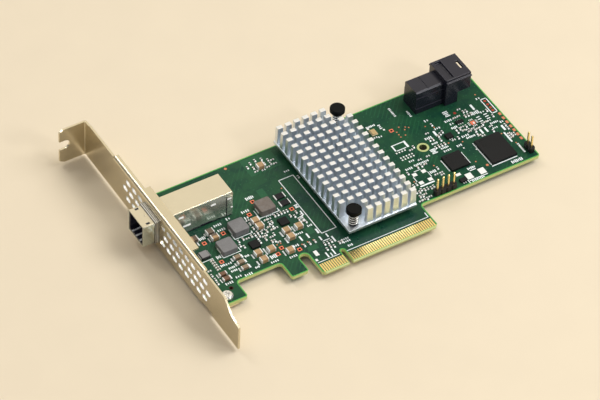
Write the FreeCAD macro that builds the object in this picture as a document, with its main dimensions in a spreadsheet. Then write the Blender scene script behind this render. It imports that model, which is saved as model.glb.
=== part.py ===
# Low-profile x8 storage adapter card with a full-height bracket, in millimetres.
# Frame: the origin is the centre of the key notch, at the tip of the card edge, on the component face.
# +X runs along the card away from the bracket, +Y out of the socket, +Z out of the component face.

import FreeCAD, Part
import math
import os
import Sketcher
from types import SimpleNamespace

# Driving dimensions, one sheet row each.
SIZES = {
    # Circuit board
    "board_thick": 1.57,
    "board_top": 68.9,
    "lower_edge": 12.96,
    "foot_low": 4.3,
    "tongue_front": 12.6,
    "tongue_rear": 39.6,
    "key_width": 1.9,
    "key_depth": 7.65,
    "tongue_gap": 4.1,
    "middle_foot": 7.5,
    "notch_width": 19.7,
    "front_foot": 14.7,
    "rear_reach": 56.05,
    "inner_round": 1.5,
    "outer_round": 0.9,
    "tongue_chamfer": 1.2,
    "bevel_long": 0.4,
    "bevel_deep": 0.4,
    "mount_hole_radius": 1.6,
    "mount_hole_x": 57.3,
    "mount_hole_y": 39.2,
    "tool_hole_radius": 0.7,
    "tool_hole_gap": 0.5,
    # Gold edge contacts
    "contact_pitch": 1.0,
    "contact_width": 0.7,
    "contact_low": 0.5,
    "contact_length": 4.4,
    "contact_thick": 0.05,
    "contact_first": 1.5,
    # Bracket
    "sheet": 0.86,
    "bracket_gap": 0.54,
    "bend_clear": 0.04,
    "bracket_drop": 15.5,
    "bracket_height": 120.0,
    "bracket_width": 18.2,
    "taper_drop": 4.5,
    "knee_drop": 9.5,
    "knee_width": 13.1,
    "tip_width": 11.4,
    "top_step_height": 4.1,
    "top_step": 0.5,
    "tab_length": 11.43,
    "tab_slot_width": 4.42,
    "tab_slot_depth": 4.6,
    "tab_slot_level": 9.4,
    "tab_chamfer_long": 2.1,
    "tab_chamfer_short": 1.2,
    "window_clear": 0.3,
    "return_low": 11.3,
    "return_wide_low": 22.6,
    "return_wide_high": 60.0,
    "return_high": 81.0,
    "return_near_reach": 1.9,
    "return_wide_reach": 4.7,
    "return_far_reach": 2.4,
    "vent_length": 3.5,
    "vent_width": 2.3,
    "vent_corner": 0.75,
    "vent_pitch": 4.6,
    "vent_low": 9.6,
    "vent_far": 59.7,
    "vent_level": 5.0,
    "vent_row_pitch": 4.4,
    "ear_width": 7.0,
    "ear_reach": 12.4,
    # Bracket screws
    "screw_inset": 7.5,
    "screw_low": 7.8,
    "screw_high": 62.0,
    "screw_radius": 1.45,
    "screw_play": 0.12,
    "screw_head_radius": 2.4,
    "screw_head_height": 1.6,
    "screw_head_bevel": 0.6,
    "screw_recess_long": 2.4,
    "screw_recess_wide": 0.7,
    "screw_recess_deep": 0.7,
    # External port
    "cage_center": 50.3,
    "cage_width": 11.4,
    "cage_top": 12.6,
    "cage_wall": 0.35,
    "cage_length": 31.0,
    "cage_start": 0.3,
    "nose_reach": 7.1,
    "nose_low": 1.8,
    "nose_top": 12.4,
    "nose_slot_long": 1.6,
    "nose_slot_wide": 1.0,
    "nose_slot_back": 2.0,
    "nose_slot_side": 0.8,
    "cage_foot_height": 0.8,
    "cage_foot_gap": 5.0,
    "cage_tab_proud": 0.25,
    "cage_tab_long": 2.4,
    "cage_tab_high": 0.5,
    "cage_tab_level": 9.6,
    "receptacle_reach": 1.5,
    "receptacle_play": 0.15,
    "gasket_thick": 0.15,
    "gasket_ridge": 0.4,
    "gasket_ridge_wide": 0.35,
    "gasket_pitch": 0.7,
    "gasket_play": 0.05,
    # Slots and contacts shared by both ports
    "deck_low": 4.9,
    "deck_high": 9.3,
    "slot_width": 8.6,
    "slot_height": 1.5,
    "slot_depth": 5.0,
    "blade_pitch": 1.0,
    "blade_width": 0.35,
    "blade_thick": 0.2,
    "blade_back": 0.5,
    # Internal port
    "shroud_center": 61.0,
    "shroud_inset": 6.35,
    "shroud_length": 11.9,
    "shroud_half": 6.4,
    "shroud_top": 13.7,
    "shroud_crown_half": 6.2,
    "shroud_crown_low": 12.6,
    "shroud_lip_half": 7.0,
    "shroud_lip_low": 11.9,
    "shroud_wall": 1.0,
    "shroud_roof": 1.2,
    "mouth_depth": 5.9,
    "mouth_back": 3.0,
    "mouth_sill": 5.2,
    "shroud_nose_half": 4.8,
    "shroud_nose_low": 3.0,
    "shroud_nose_high": 11.2,
    "latch_long": 4.3,
    "latch_wide": 1.1,
    "latch_back": 1.5,
    "groove_long": 10.4,
    "groove_wide": 2.6,
    "groove_back": 7.8,
    "groove_deep": 0.6,
    "cover_length": 12.8,
    "cover_half": 4.7,
    "cover_top": 11.4,
    "cover_ledge_low": 2.6,
    "cover_ledge_high": 8.0,
    "cover_ledge": 0.2,
    "cover_chamfer": 0.6,
    "cover_line_back": 7.0,
    "cover_line": 0.3,
    # Heatsink and controller
    "sink_x": 20.8,
    "sink_y": 39.5,
    "sink_low": 2.6,
    "sink_base": 1.3,
    "sink_top": 11.85,
    "pin_pitch_x": 3.95,
    "pin_pitch_y": 3.89,
    "pin_size_x": 2.4,
    "pin_size_y": 1.8,
    "sink_rim_x": 0.66,
    "sink_rim_y": 0.47,
    "package_size": 27.0,
    "package_thick": 0.9,
    "lid_size": 21.0,
    "lid_thick": 1.2,
    # Push pins and springs
    "push_reach_x": 11.7,
    "push_reach_y": 25.2,
    "push_shaft_radius": 1.4,
    "push_hole_play": 0.2,
    "push_head_radius": 3.1,
    "push_head_low": 10.4,
    "push_head_top": 12.3,
    "push_edge": 0.35,
    "barb_radius": 1.85,
    "barb_play": 0.1,
    "barb_neck": 0.7,
    "barb_length": 2.2,
    "barb_tip_radius": 0.7,
    "barb_split": 0.7,
    "spring_wire_radius": 0.24,
    "spring_play": 0.15,
    # Packages
    "small_memory_x": 64.2,
    "small_memory_y": 26.1,
    "small_memory_long": 8.3,
    "small_memory_wide": 8.5,
    "small_memory_thick": 1.1,
    "large_memory_inset": 13.65,
    "large_memory_y": 24.4,
    "large_memory_long": 11.5,
    "large_memory_wide": 13.9,
    "large_memory_thick": 1.1,
    "dimple_radius": 0.45,
    "dimple_inset": 1.4,
    "dimple_deep": 0.1,
    "regulator_size": 3.8,
    "regulator_thick": 0.9,
    "crystal_x": 44.3,
    "crystal_y": 55.7,
    "crystal_long": 2.5,
    "crystal_wide": 3.3,
    "crystal_base": 0.5,
    "crystal_lid": 0.35,
    "crystal_rim": 0.25,
    # Power inductors
    "coil_size": 6.7,
    "coil_small_size": 4.0,
    "coil_small_thick": 1.2,
    "coil_corner": 0.5,
    "coil_chamfer": 0.2,
    "coil_terminal_wide": 3.0,
    "coil_terminal_thick": 0.15,
    "coil_terminal_high": 0.9,
    # Chip capacitors and resistors
    "pale_long": 3.2,
    "pale_wide": 2.5,
    "pale_thick": 1.8,
    "dark_long": 3.2,
    "dark_wide": 1.7,
    "dark_thick": 1.2,
    "sense_long": 4.4,
    "sense_wide": 2.7,
    "sense_thick": 0.7,
    "chip_end": 0.4,
    "bypass_long": 1.0,
    "bypass_wide": 0.5,
    "bypass_thick": 0.5,
    "bypass_end": 0.2,
    "bypass_pitch": 3.0,
    "coupling_pitch": 4.0,
    "coupling_low": 9.6,
    # Small transistor packages
    "lead_long": 0.55,
    "lead_wide": 0.4,
    "lead_thick": 0.15,
    "lead_pitch": 0.95,
    # Pin headers
    "header_pitch": 2.54,
    "header_width": 2.5,
    "header_height": 2.5,
    "header_corner": 0.5,
    "post": 0.64,
    "post_top": 8.5,
    "post_tail": 1.2,
    "post_bevel": 0.18,
    "post_hole_radius": 0.52,
    "long_header_x": 51.9,
    "long_header_y": 14.6,
    "short_header_inset": 1.95,
    "short_header_y": 17.8,
}

FRONT_CONTACT_COUNT = 11
REAR_CONTACT_COUNT = 38
NEAR_VENT_COUNT = 8
FAR_VENT_COUNT = 3
VENT_ROW_COUNT = 3
SINK_COLUMN_COUNT = 8
SINK_ROW_COUNT = 15
CLEARED_PIN_COUNT = 2
RIDGE_COUNT = 3
BLADE_COUNT = 8
LONG_POST_COUNT = 4
SHORT_POST_COUNT = 2
BYPASS_COLUMN_COUNT = 4
BYPASS_ROW_COUNT = 2
COUPLING_COUNT = 8
SPRING_TURN_COUNT = 5
SPRING_STEP_COUNT = 10

# Placings on the component face: x and y of each body's centre.
COIL_PLACES = [(-38.6, 29.7, 2.4), (-29.65, 36.1, 2.9), (-14.95, 40.8, 2.8)]
COIL_SMALL_PLACE = (-48.15, 30.35)
REGULATOR_PLACES = [(-28.3, 25.9), (-12.2, 31.0)]
SENSE_PLACES = [(-6.6, 43.6), (-6.6, 39.6)]
PALE_PLACES = [
    (-40.3, 39.7), (-40.0, 36.4), (-47.7, 39.2), (-21.8, 36.4), (-21.7, 33.2),
    (-29.6, 21.0), (-29.3, 17.0), (-24.1, 20.4), (-18.0, 16.2), (-13.9, 26.0),
    (-14.0, 22.3), (-8.5, 25.7), (-4.8, 61.2),
]
DARK_PLACES = [(-37.6, 23.3), (-37.6, 20.3), (-37.6, 17.2), (-46.9, 18.3), (-46.8, 15.6)]
# Centre, length, width and thickness, and the number of leads on each long side.
TRANSISTORS = [
    (69.5, 39.2, 2.9, 2.6, 1.0, 2),
    (77.6, 44.1, 3.2, 1.5, 0.8, 3),
    (61.2, 15.8, 2.8, 2.0, 0.9, 2),
]

DOC = FreeCAD.newDocument("host_bus_adapter")
SHEET = DOC.addObject("Spreadsheet::Sheet", "Sizes")
NODES = []


class Dim:
    """A length together with the sheet formula that yields it."""

    def __init__(self, value, formula):
        self.value = value
        self.formula = formula

    def joined(self, sign, other, value):
        return Dim(value, f"({self.formula} {sign} {dim(other).formula})")

    def __add__(self, other):
        return self.joined("+", other, self.value + dim(other).value)

    def __radd__(self, other):
        return dim(other) + self

    def __sub__(self, other):
        return self.joined("-", other, self.value - dim(other).value)

    def __rsub__(self, other):
        return dim(other) - self

    def __mul__(self, other):
        return self.joined("*", other, self.value * dim(other).value)

    def __rmul__(self, other):
        return self * other

    def __truediv__(self, other):
        return self.joined("/", other, self.value / dim(other).value)

    def __neg__(self):
        return dim(0) - self


def dim(number):
    """A plain number as a Dim; a Dim stays as it is."""
    if isinstance(number, Dim):
        return number
    return Dim(float(number), f"({float(number)!r})")


def fill_sheet():
    """Write the driving dimensions to the sheet and hand them back by name."""
    for row, (name, value) in enumerate(SIZES.items(), 1):
        SHEET.set(f"A{row}", name)
        SHEET.set(f"B{row}", str(value))
        SHEET.setAlias(f"B{row}", name)
    DOC.recompute()
    return SimpleNamespace(**{name: Dim(float(SHEET.get(name)), f"Sizes.{name}") for name in SIZES})


S = fill_sheet()

# Places that several pieces share.
TONGUE_LEFT = -S.tongue_front
GAP_LEFT = TONGUE_LEFT - S.tongue_gap
MIDDLE_LEFT = GAP_LEFT - S.middle_foot
NOTCH_LEFT = MIDDLE_LEFT - S.notch_width
BOARD_FRONT = NOTCH_LEFT - S.front_foot
BOARD_REAR = S.tongue_rear + S.rear_reach
BRACKET_INNER = BOARD_FRONT - S.bracket_gap
BRACKET_OUTER = BRACKET_INNER - S.sheet
BRACKET_LOW = -S.board_thick - S.sheet
BRACKET_HIGH = BRACKET_LOW + S.bracket_width
BEND = S.bracket_gap - S.bend_clear
SCREW_X = BOARD_FRONT + S.screw_inset
SCREW_PLACES = [(SCREW_X, S.screw_low), (SCREW_X, S.screw_high)]
PUSH_PLACES = [
    (S.sink_x - S.push_reach_x, S.sink_y - S.push_reach_y),
    (S.sink_x + S.push_reach_x, S.sink_y + S.push_reach_y),
]
SHROUD_FRONT = BOARD_REAR - S.shroud_inset
SHROUD_REAR = SHROUD_FRONT - S.shroud_length


def bind(thing, prop, length):
    thing.setExpression(prop, dim(length).formula)


def span(center, size):
    """The low and high end of a size about its centre."""
    return (center - size / 2, center + size / 2)


def node(thing, label):
    """Keep a finished piece under the name of its file."""
    thing.Label = label
    NODES.append(thing)
    return thing


def block(name, x, y, z):
    """A box between two places on each axis."""
    box = DOC.addObject("Part::Box", name)
    for prop, axis, (low, high) in zip(("Length", "Width", "Height"), "xyz", (x, y, z)):
        bind(box, prop, dim(high) - dim(low))
        bind(box, f"Placement.Base.{axis}", low)
    return box


def fuse(name, members):
    whole = DOC.addObject("Part::MultiFuse", name)
    whole.Shapes = members
    whole.Refine = True
    return whole


def cut(name, base, tool):
    left = DOC.addObject("Part::Cut", name)
    left.Base = base
    left.Tool = tool
    return left


def group(label, members):
    """Separate solids that share one name."""
    whole = DOC.addObject("Part::Compound", label)
    whole.Links = members
    return node(whole, label)


def new_body(name):
    return DOC.addObject("PartDesign::Body", name)


def place(body, x, y, z):
    for axis, value in zip("xyz", (x, y, z)):
        bind(body, f"Placement.Base.{axis}", value)


def datum(body, role):
    return next(part for part in body.Origin.OriginFeatures if part.Role == role)


def sketch_on(body, role, lift=0):
    """A sketch on one of the body's planes, moved along the plane's normal."""
    sketch = body.newObject("Sketcher::SketchObject", f"{body.Name}_sketch")
    sketch.AttachmentSupport = [(datum(body, role), "")]
    sketch.MapMode = "FlatFace"
    bind(sketch, "AttachmentOffset.Base.z", lift)
    return sketch


def constrain(sketch, constraint, length):
    index = sketch.addConstraint(constraint)
    sketch.setExpression(f"Constraints[{index}]", length.formula)


def pin_point(sketch, curve, end, x, y):
    """Tie one end of a curve to its place."""
    for kind, length in (("DistanceX", dim(x)), ("DistanceY", dim(y))):
        constrain(sketch, Sketcher.Constraint(kind, -1, 1, curve, end, length.value), length)


def heading(start, end):
    """The unit step between two corners whose edge runs along an axis."""
    step_x = dim(end[0]).value - dim(start[0]).value
    step_y = dim(end[1]).value - dim(start[1]).value
    length = math.hypot(step_x, step_y)
    return (round(step_x / length, 9), round(step_y / length, 9))


def vector(point):
    return FreeCAD.Vector(dim(point[0]).value, dim(point[1]).value, 0)


def outline(sketch, corners):
    """Draw a closed outline; a corner (x, y, radius) rounds two edges that run along the axes."""
    points = []
    for index, corner in enumerate(corners):
        x, y, *rest = corner
        if not rest:
            points.append([(x, y)])
            continue
        radius = rest[0]
        into = heading(corners[index - 1], corner)
        out = heading(corner, corners[(index + 1) % len(corners)])
        entry = (x - radius * into[0], y - radius * into[1])
        leave = (x + radius * out[0], y + radius * out[1])
        center = (entry[0] + radius * out[0], entry[1] + radius * out[1])
        left = into[0] * out[1] - into[1] * out[0] > 0
        points.append([entry, leave, center, radius, left])

    curves = []
    for index, here in enumerate(points):
        if len(here) > 1:
            entry, leave, center, radius, left = here
            first, last = (entry, leave) if left else (leave, entry)
            spread = [math.atan2(*reversed((vector(p) - vector(center))[:2])) for p in (first, last)]
            circle = Part.Circle(vector(center), FreeCAD.Vector(0, 0, 1), radius.value)
            if spread[1] < spread[0]:
                spread[1] += 2 * math.pi
            arc = sketch.addGeometry(Part.ArcOfCircle(circle, *spread), False)
            curves.append((arc, 1 if left else 2, entry, radius))
        start = here[1] if len(here) > 1 else here[0]
        end = points[(index + 1) % len(points)][0]
        if vector(start).distanceToPoint(vector(end)) > 1e-6:
            line = sketch.addGeometry(Part.LineSegment(vector(start), vector(end)), False)
            curves.append((line, 1, start, None))

    for (curve, begin, start, radius), (other, other_begin, *_) in zip(curves, curves[1:] + curves[:1]):
        sketch.addConstraint(Sketcher.Constraint("Coincident", curve, 3 - begin, other, other_begin))
        pin_point(sketch, curve, begin, *start)
        if radius is not None:
            constrain(sketch, Sketcher.Constraint("Radius", curve, radius.value), radius)


def rectangle(sketch, x, y):
    outline(sketch, [(x[0], y[0]), (x[1], y[0]), (x[1], y[1]), (x[0], y[1])])


def hole(sketch, x, y, radius):
    center = vector((x, y))
    circle = Part.Circle(center, FreeCAD.Vector(0, 0, 1), radius.value)
    curve = sketch.addGeometry(circle, False)
    pin_point(sketch, curve, 3, x, y)
    constrain(sketch, Sketcher.Constraint("Radius", curve, radius.value), radius)


def finish_feature(body, feature):
    body.Tip = feature
    return feature


def pad(body, sketch, length, backwards=False):
    feature = body.newObject("PartDesign::Pad", f"{body.Name}_pad")
    feature.Profile = sketch
    feature.Reversed = backwards
    bind(feature, "Length", length)
    return finish_feature(body, feature)


def pocket(body, sketch, depth=None, backwards=False):
    """Cut a sketch to a depth, or right through both ways."""
    feature = body.newObject("PartDesign::Pocket", f"{body.Name}_pocket")
    feature.Profile = sketch
    feature.Reversed = backwards
    if depth is None:
        feature.Type = "ThroughAll"
        feature.SideType = "Symmetric"
    else:
        bind(feature, "Length", depth)
    return finish_feature(body, feature)


def repeat(body, feature, axis, pitch, count, backwards=False):
    pattern = body.newObject("PartDesign::LinearPattern", f"{body.Name}_row")
    pattern.Originals = [feature]
    pattern.Direction = (datum(body, axis), [""])
    pattern.Reversed = backwards
    pattern.Mode = "Spacing"
    pattern.Occurrences = count
    bind(pattern, "Offset", pitch)
    return finish_feature(body, pattern)


def turn(body, sketch):
    """Revolve a half profile about the upright axis of its sketch."""
    feature = body.newObject("PartDesign::Revolution", f"{body.Name}_turned")
    feature.Profile = sketch
    feature.ReferenceAxis = (sketch, ["V_Axis"])
    return finish_feature(body, feature)


def bevel_top(body, feature, size):
    """Chamfer the edges of the highest flat face."""
    DOC.recompute()
    faces = feature.Shape.Faces
    top = max(range(len(faces)), key=lambda index: faces[index].CenterOfMass.z)
    chamfer = body.newObject("PartDesign::Chamfer", f"{body.Name}_chamfer")
    chamfer.Base = (feature, [f"Face{top + 1}"])
    bind(chamfer, "Size", size)
    return finish_feature(body, chamfer)


def header_posts(center_x, center_y, count, along):
    """The places of a header's posts, along X or Y."""
    offsets = [(index - (count - 1) / 2) * S.header_pitch for index in range(count)]
    if along == "x":
        return [(center_x + offset, center_y) for offset in offsets]
    return [(center_x, center_y + offset) for offset in offsets]


LONG_POSTS = header_posts(S.long_header_x, S.long_header_y, LONG_POST_COUNT, "x")
SHORT_POSTS = header_posts(BOARD_REAR - S.short_header_inset, S.short_header_y, SHORT_POST_COUNT, "y")


def circuit_board():
    """The laminate: two feet, a keyed tongue with a bevelled tip, and its holes."""
    body = new_body("circuit_board")
    sketch = sketch_on(body, "XY_Plane")
    key = S.key_width / 2
    gap = S.tongue_gap / 2
    chamfer = S.tongue_chamfer
    outline(sketch, [
        (TONGUE_LEFT, chamfer),
        (TONGUE_LEFT + chamfer, 0),
        (-key, 0),
        (-key, S.key_depth, key),
        (key, S.key_depth, key),
        (key, 0),
        (S.tongue_rear - chamfer, 0),
        (S.tongue_rear, chamfer),
        (S.tongue_rear, S.lower_edge, S.inner_round),
        (BOARD_REAR, S.lower_edge, S.outer_round),
        (BOARD_REAR, S.board_top, S.outer_round),
        (BOARD_FRONT, S.board_top, S.outer_round),
        (BOARD_FRONT, S.foot_low, S.outer_round),
        (NOTCH_LEFT, S.foot_low, S.outer_round),
        (NOTCH_LEFT, S.lower_edge, S.inner_round),
        (MIDDLE_LEFT, S.lower_edge, S.inner_round),
        (MIDDLE_LEFT, S.foot_low, S.outer_round),
        (GAP_LEFT, S.foot_low, S.outer_round),
        (GAP_LEFT, S.lower_edge, gap),
        (TONGUE_LEFT, S.lower_edge, gap),
    ])
    hole(sketch, S.mount_hole_x, S.mount_hole_y, S.mount_hole_radius)
    tool_offset = S.screw_head_radius + S.tool_hole_radius
    hole(sketch, SCREW_X + tool_offset + S.tool_hole_gap, S.screw_low + tool_offset, S.tool_hole_radius)
    for x, y in SCREW_PLACES:
        hole(sketch, x, y, S.screw_radius + S.screw_play)
    for x, y in PUSH_PLACES:
        hole(sketch, x, y, S.push_shaft_radius + S.push_hole_play)
    for x, y in LONG_POSTS + SHORT_POSTS:
        hole(sketch, x, y, S.post_hole_radius)
    pad(body, sketch, S.board_thick, backwards=True)

    outside = 1
    for face, inward in ((dim(0), -1), (-S.board_thick, 1)):
        tip = sketch_on(body, "YZ_Plane")
        outline(tip, [
            (S.bevel_long, face),
            (S.bevel_long, face - outside * inward),
            (dim(-outside), face - outside * inward),
            (dim(-outside), face + S.bevel_deep * inward),
            (dim(0), face + S.bevel_deep * inward),
        ])
        pocket(body, tip)
    node(body, "circuit_board")


def edge_contacts(label, low):
    """One side's row of gold pads, either side of the key."""
    body = new_body(label)
    y = (S.contact_low, S.contact_low + S.contact_length)
    for side, count in ((1, REAR_CONTACT_COUNT), (-1, FRONT_CONTACT_COUNT)):
        sketch = sketch_on(body, "XY_Plane", low)
        rectangle(sketch, span(side * S.contact_first, S.contact_width), y)
        first = pad(body, sketch, S.contact_thick)
        repeat(body, first, "X_Axis", S.contact_pitch, count, backwards=side < 0)
    node(body, label)


def fold(body, low, high, edge, inward, reach):
    """Bend a strip off one long edge of the plate towards the card, between two heights."""
    bend_start = edge + (S.sheet + BEND) * inward
    beyond = 1
    strip = sketch_on(body, "YZ_Plane", BRACKET_INNER)
    rectangle(strip, (low, high), sorted((bend_start, edge - beyond * inward), key=lambda size: size.value))
    pocket(body, strip)
    profile = sketch_on(body, "XZ_Plane", -high)
    corners = [
        (BRACKET_OUTER, bend_start),
        (BRACKET_INNER, bend_start),
        (BRACKET_INNER, edge + S.sheet * inward, BEND),
        (BRACKET_OUTER + reach, edge + S.sheet * inward),
        (BRACKET_OUTER + reach, edge),
        (BRACKET_OUTER, edge, BEND + S.sheet),
    ]
    outline(profile, corners)
    pad(body, profile, high - low)


def vent_row(body, first, level, count):
    """A row of eight-sided openings up the plate."""
    sketch = sketch_on(body, "YZ_Plane", BRACKET_INNER)
    y = span(first, S.vent_length)
    z = span(level, S.vent_width)
    end = S.vent_corner
    outline(sketch, [
        (y[0] + end, z[0]), (y[1] - end, z[0]), (y[1], z[0] + end), (y[1], z[1] - end),
        (y[1] - end, z[1]), (y[0] + end, z[1]), (y[0], z[1] - end), (y[0], z[0] + end),
    ])
    repeat(body, pocket(body, sketch), "Y_Axis", S.vent_pitch, count)


def bracket():
    """One folded sheet: plate, screw tab, tapered tongue, stiffening return and two ears."""
    body = new_body("bracket")
    low = -S.bracket_drop
    high = low + S.bracket_height
    tab_end = BRACKET_OUTER - S.tab_length
    beyond = 1

    side = sketch_on(body, "XY_Plane", BRACKET_LOW)
    outline(side, [
        (BRACKET_OUTER, low),
        (BRACKET_INNER, low),
        (BRACKET_INNER, high, BEND + S.sheet),
        (tab_end, high),
        (tab_end, high - S.sheet),
        (BRACKET_OUTER, high - S.sheet, BEND),
    ])
    pad(body, side, S.bracket_width)

    taper = sketch_on(body, "YZ_Plane", BRACKET_INNER)
    outline(taper, [
        (-S.taper_drop, BRACKET_HIGH),
        (-S.taper_drop, BRACKET_HIGH + beyond),
        (low - beyond, BRACKET_HIGH + beyond),
        (low - beyond, BRACKET_LOW + S.tip_width),
        (low, BRACKET_LOW + S.tip_width),
        (-S.knee_drop, BRACKET_LOW + S.knee_width),
    ])
    pocket(body, taper)

    tab_high = BRACKET_HIGH - S.top_step
    step = sketch_on(body, "YZ_Plane", BRACKET_INNER)
    rectangle(step, (high - S.top_step_height, high + beyond), (tab_high, BRACKET_HIGH + beyond))
    pocket(body, step)

    slot = sketch_on(body, "XZ_Plane", -high)
    slot_end = tab_end + S.tab_slot_depth
    slot_z = span(BRACKET_LOW + S.tab_slot_level, S.tab_slot_width)
    outline(slot, [
        (tab_end - beyond, slot_z[0]),
        (slot_end, slot_z[0], S.tab_slot_width / 2),
        (slot_end, slot_z[1], S.tab_slot_width / 2),
        (tab_end - beyond, slot_z[1]),
    ])
    pocket(body, slot)
    for edge, inward in ((tab_high, -1), (BRACKET_LOW, 1)):
        corner = sketch_on(body, "XZ_Plane", -high)
        outline(corner, [
            (tab_end - beyond, edge + S.tab_chamfer_short * inward),
            (tab_end, edge + S.tab_chamfer_short * inward),
            (tab_end + S.tab_chamfer_long, edge),
            (tab_end + S.tab_chamfer_long, edge - beyond * inward),
            (tab_end - beyond, edge - beyond * inward),
        ])
        pocket(body, corner)

    fold(body, S.return_low, S.return_wide_low, BRACKET_HIGH, -1, S.return_near_reach)
    fold(body, S.return_wide_low, S.return_wide_high, BRACKET_HIGH, -1, S.return_wide_reach)
    fold(body, S.return_wide_high, S.return_high, BRACKET_HIGH, -1, S.return_far_reach)
    for x, y in SCREW_PLACES:
        fold(body, *span(y, S.ear_width), BRACKET_LOW, 1, S.ear_reach)
        screw = sketch_on(body, "XY_Plane", BRACKET_LOW + S.sheet)
        hole(screw, x, y, S.screw_radius + S.screw_play)
        pocket(body, screw, S.sheet)

    window = sketch_on(body, "YZ_Plane", BRACKET_INNER)
    clear = 2 * S.window_clear
    rectangle(window, span(S.cage_center, S.cage_width + clear),
              (S.nose_low - S.window_clear, S.cage_top + S.window_clear))
    pocket(body, window)

    for row in range(VENT_ROW_COUNT):
        level = BRACKET_LOW + S.vent_level + row * S.vent_row_pitch
        stagger = S.vent_pitch / 2 if row % 2 else dim(0)
        vent_row(body, S.vent_low - stagger, level, NEAR_VENT_COUNT)
        vent_row(body, S.vent_far + stagger, level, FAR_VENT_COUNT)
    node(body, "bracket")


def bracket_screw(x, y):
    """A pan-head screw with a cross recess, up through the card from its ear."""
    body = new_body("bracket_screw")
    sketch = sketch_on(body, "XZ_Plane")
    head = S.screw_head_radius
    crown = S.screw_head_height
    outline(sketch, [
        (dim(0), BRACKET_LOW),
        (S.screw_radius, BRACKET_LOW),
        (S.screw_radius, dim(0)),
        (head, dim(0)),
        (head, crown - S.screw_head_bevel),
        (head - S.screw_head_bevel, crown),
        (dim(0), crown),
    ])
    turn(body, sketch)
    for long, wide in ((S.screw_recess_long, S.screw_recess_wide), (S.screw_recess_wide, S.screw_recess_long)):
        recess = sketch_on(body, "XY_Plane", crown)
        rectangle(recess, span(dim(0), long), span(dim(0), wide))
        pocket(body, recess, S.screw_recess_deep)
    place(body, x, y, 0)
    return body


def blades(label, center, mouth, step):
    """Contact blades above and below in both decks of a port; step is +1 where the slots run to +X."""
    members = []
    ends = (mouth + S.blade_back * step, mouth + S.slot_depth * step)
    x = ends if step > 0 else ends[::-1]
    for deck in (S.deck_low, S.deck_high):
        floor, roof = span(deck, S.slot_height)
        for z in ((floor, floor + S.blade_thick), (roof - S.blade_thick, roof)):
            for index in range(BLADE_COUNT):
                offset = (index - (BLADE_COUNT - 1) / 2) * S.blade_pitch
                members.append(block("blade", x, span(center + offset, S.blade_width), z))
    group(label, members)


def external_port():
    """A folded cage through the bracket, its plastic receptacle, blades and spring gasket."""
    wall = S.cage_wall
    y = span(S.cage_center, S.cage_width)
    inner_y = (y[0] + wall, y[1] - wall)
    start = BOARD_FRONT + S.cage_start
    rear = start + S.cage_length
    front = BRACKET_OUTER - S.nose_reach
    beyond = 1

    shell = [
        block("cage_body", (start, rear), y, (0, S.cage_top)),
        block("cage_nose", (front, start), y, (S.nose_low, S.nose_top)),
    ]
    tab_low, tab_high = span(S.cage_tab_level, S.cage_tab_high)
    tab_places = [S.cage_length * share for share in (0.24, 0.72, 0.95)]
    for place_x in tab_places:
        x = span(start + place_x - S.cage_tab_long / 2, S.cage_tab_long)
        shell.append(block("cage_tab", x, (y[0] - S.cage_tab_proud, y[1] + S.cage_tab_proud), (tab_low, tab_high)))
    hollow = [
        block("cage_room", (start, rear - wall), inner_y, (-beyond, S.cage_top - wall)),
        block("cage_throat", (front - beyond, start), inner_y, (S.nose_low + wall, S.nose_top - wall)),
    ]
    slot_x = (front + S.nose_slot_back, front + S.nose_slot_back + S.nose_slot_long)
    slot_z = (S.nose_top - 2 * wall, S.nose_top + beyond)
    low_slot = y[0] + S.nose_slot_side
    high_slot = y[1] - S.nose_slot_side
    hollow.append(block("nose_slot", slot_x, (low_slot, low_slot + S.nose_slot_wide), slot_z))
    hollow.append(block("nose_slot", slot_x, (high_slot - S.nose_slot_wide, high_slot), slot_z))
    for share in (0.25, 0.5, 0.75):
        x = span(start + S.cage_length * share, S.cage_foot_gap)
        hollow.append(block("foot_gap", x, (y[0] - beyond, y[1] + beyond), (-beyond, S.cage_foot_height)))
    node(cut("external_cage", fuse("cage_shell", shell), fuse("cage_hollow", hollow)), "external_cage")

    play = S.receptacle_play
    mouth = BRACKET_OUTER - S.receptacle_reach
    body_y = (inner_y[0] + play, inner_y[1] - play)
    body = fuse("receptacle_body", [
        block("receptacle_rear", (start + play, rear - wall - play), body_y, (0, S.cage_top - wall - play)),
        block("receptacle_nose", (mouth, start + play), body_y, (S.nose_low + wall + play, S.nose_top - wall - play)),
    ])
    slots = fuse("receptacle_slots", [
        block("receptacle_slot", (mouth - beyond, mouth + S.slot_depth), span(S.cage_center, S.slot_width),
              span(deck, S.slot_height))
        for deck in (S.deck_low, S.deck_high)
    ])
    node(cut("external_receptacle", body, slots), "external_receptacle")
    blades("external_contacts", S.cage_center, mouth, 1)

    gap = S.gasket_play
    inside_y = (y[0] - gap, y[1] + gap)
    inside_z = (S.nose_low - gap, S.nose_top + gap)
    band = S.gasket_pitch * RIDGE_COUNT
    ring = [block("gasket_band", (BRACKET_OUTER - band, BRACKET_OUTER),
                  (inside_y[0] - S.gasket_thick, inside_y[1] + S.gasket_thick),
                  (inside_z[0] - S.gasket_thick, inside_z[1] + S.gasket_thick))]
    for index in range(RIDGE_COUNT):
        x = span(BRACKET_OUTER - (index + 0.5) * S.gasket_pitch, S.gasket_ridge_wide)
        ring.append(block("gasket_ridge", x, (inside_y[0] - S.gasket_ridge, inside_y[1] + S.gasket_ridge),
                          (inside_z[0] - S.gasket_ridge, inside_z[1] + S.gasket_ridge)))
    bore = block("gasket_bore", (BRACKET_OUTER - band - beyond, BRACKET_OUTER + beyond), inside_y, inside_z)
    node(cut("external_gasket", fuse("gasket_ring", ring), bore), "external_gasket")


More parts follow.
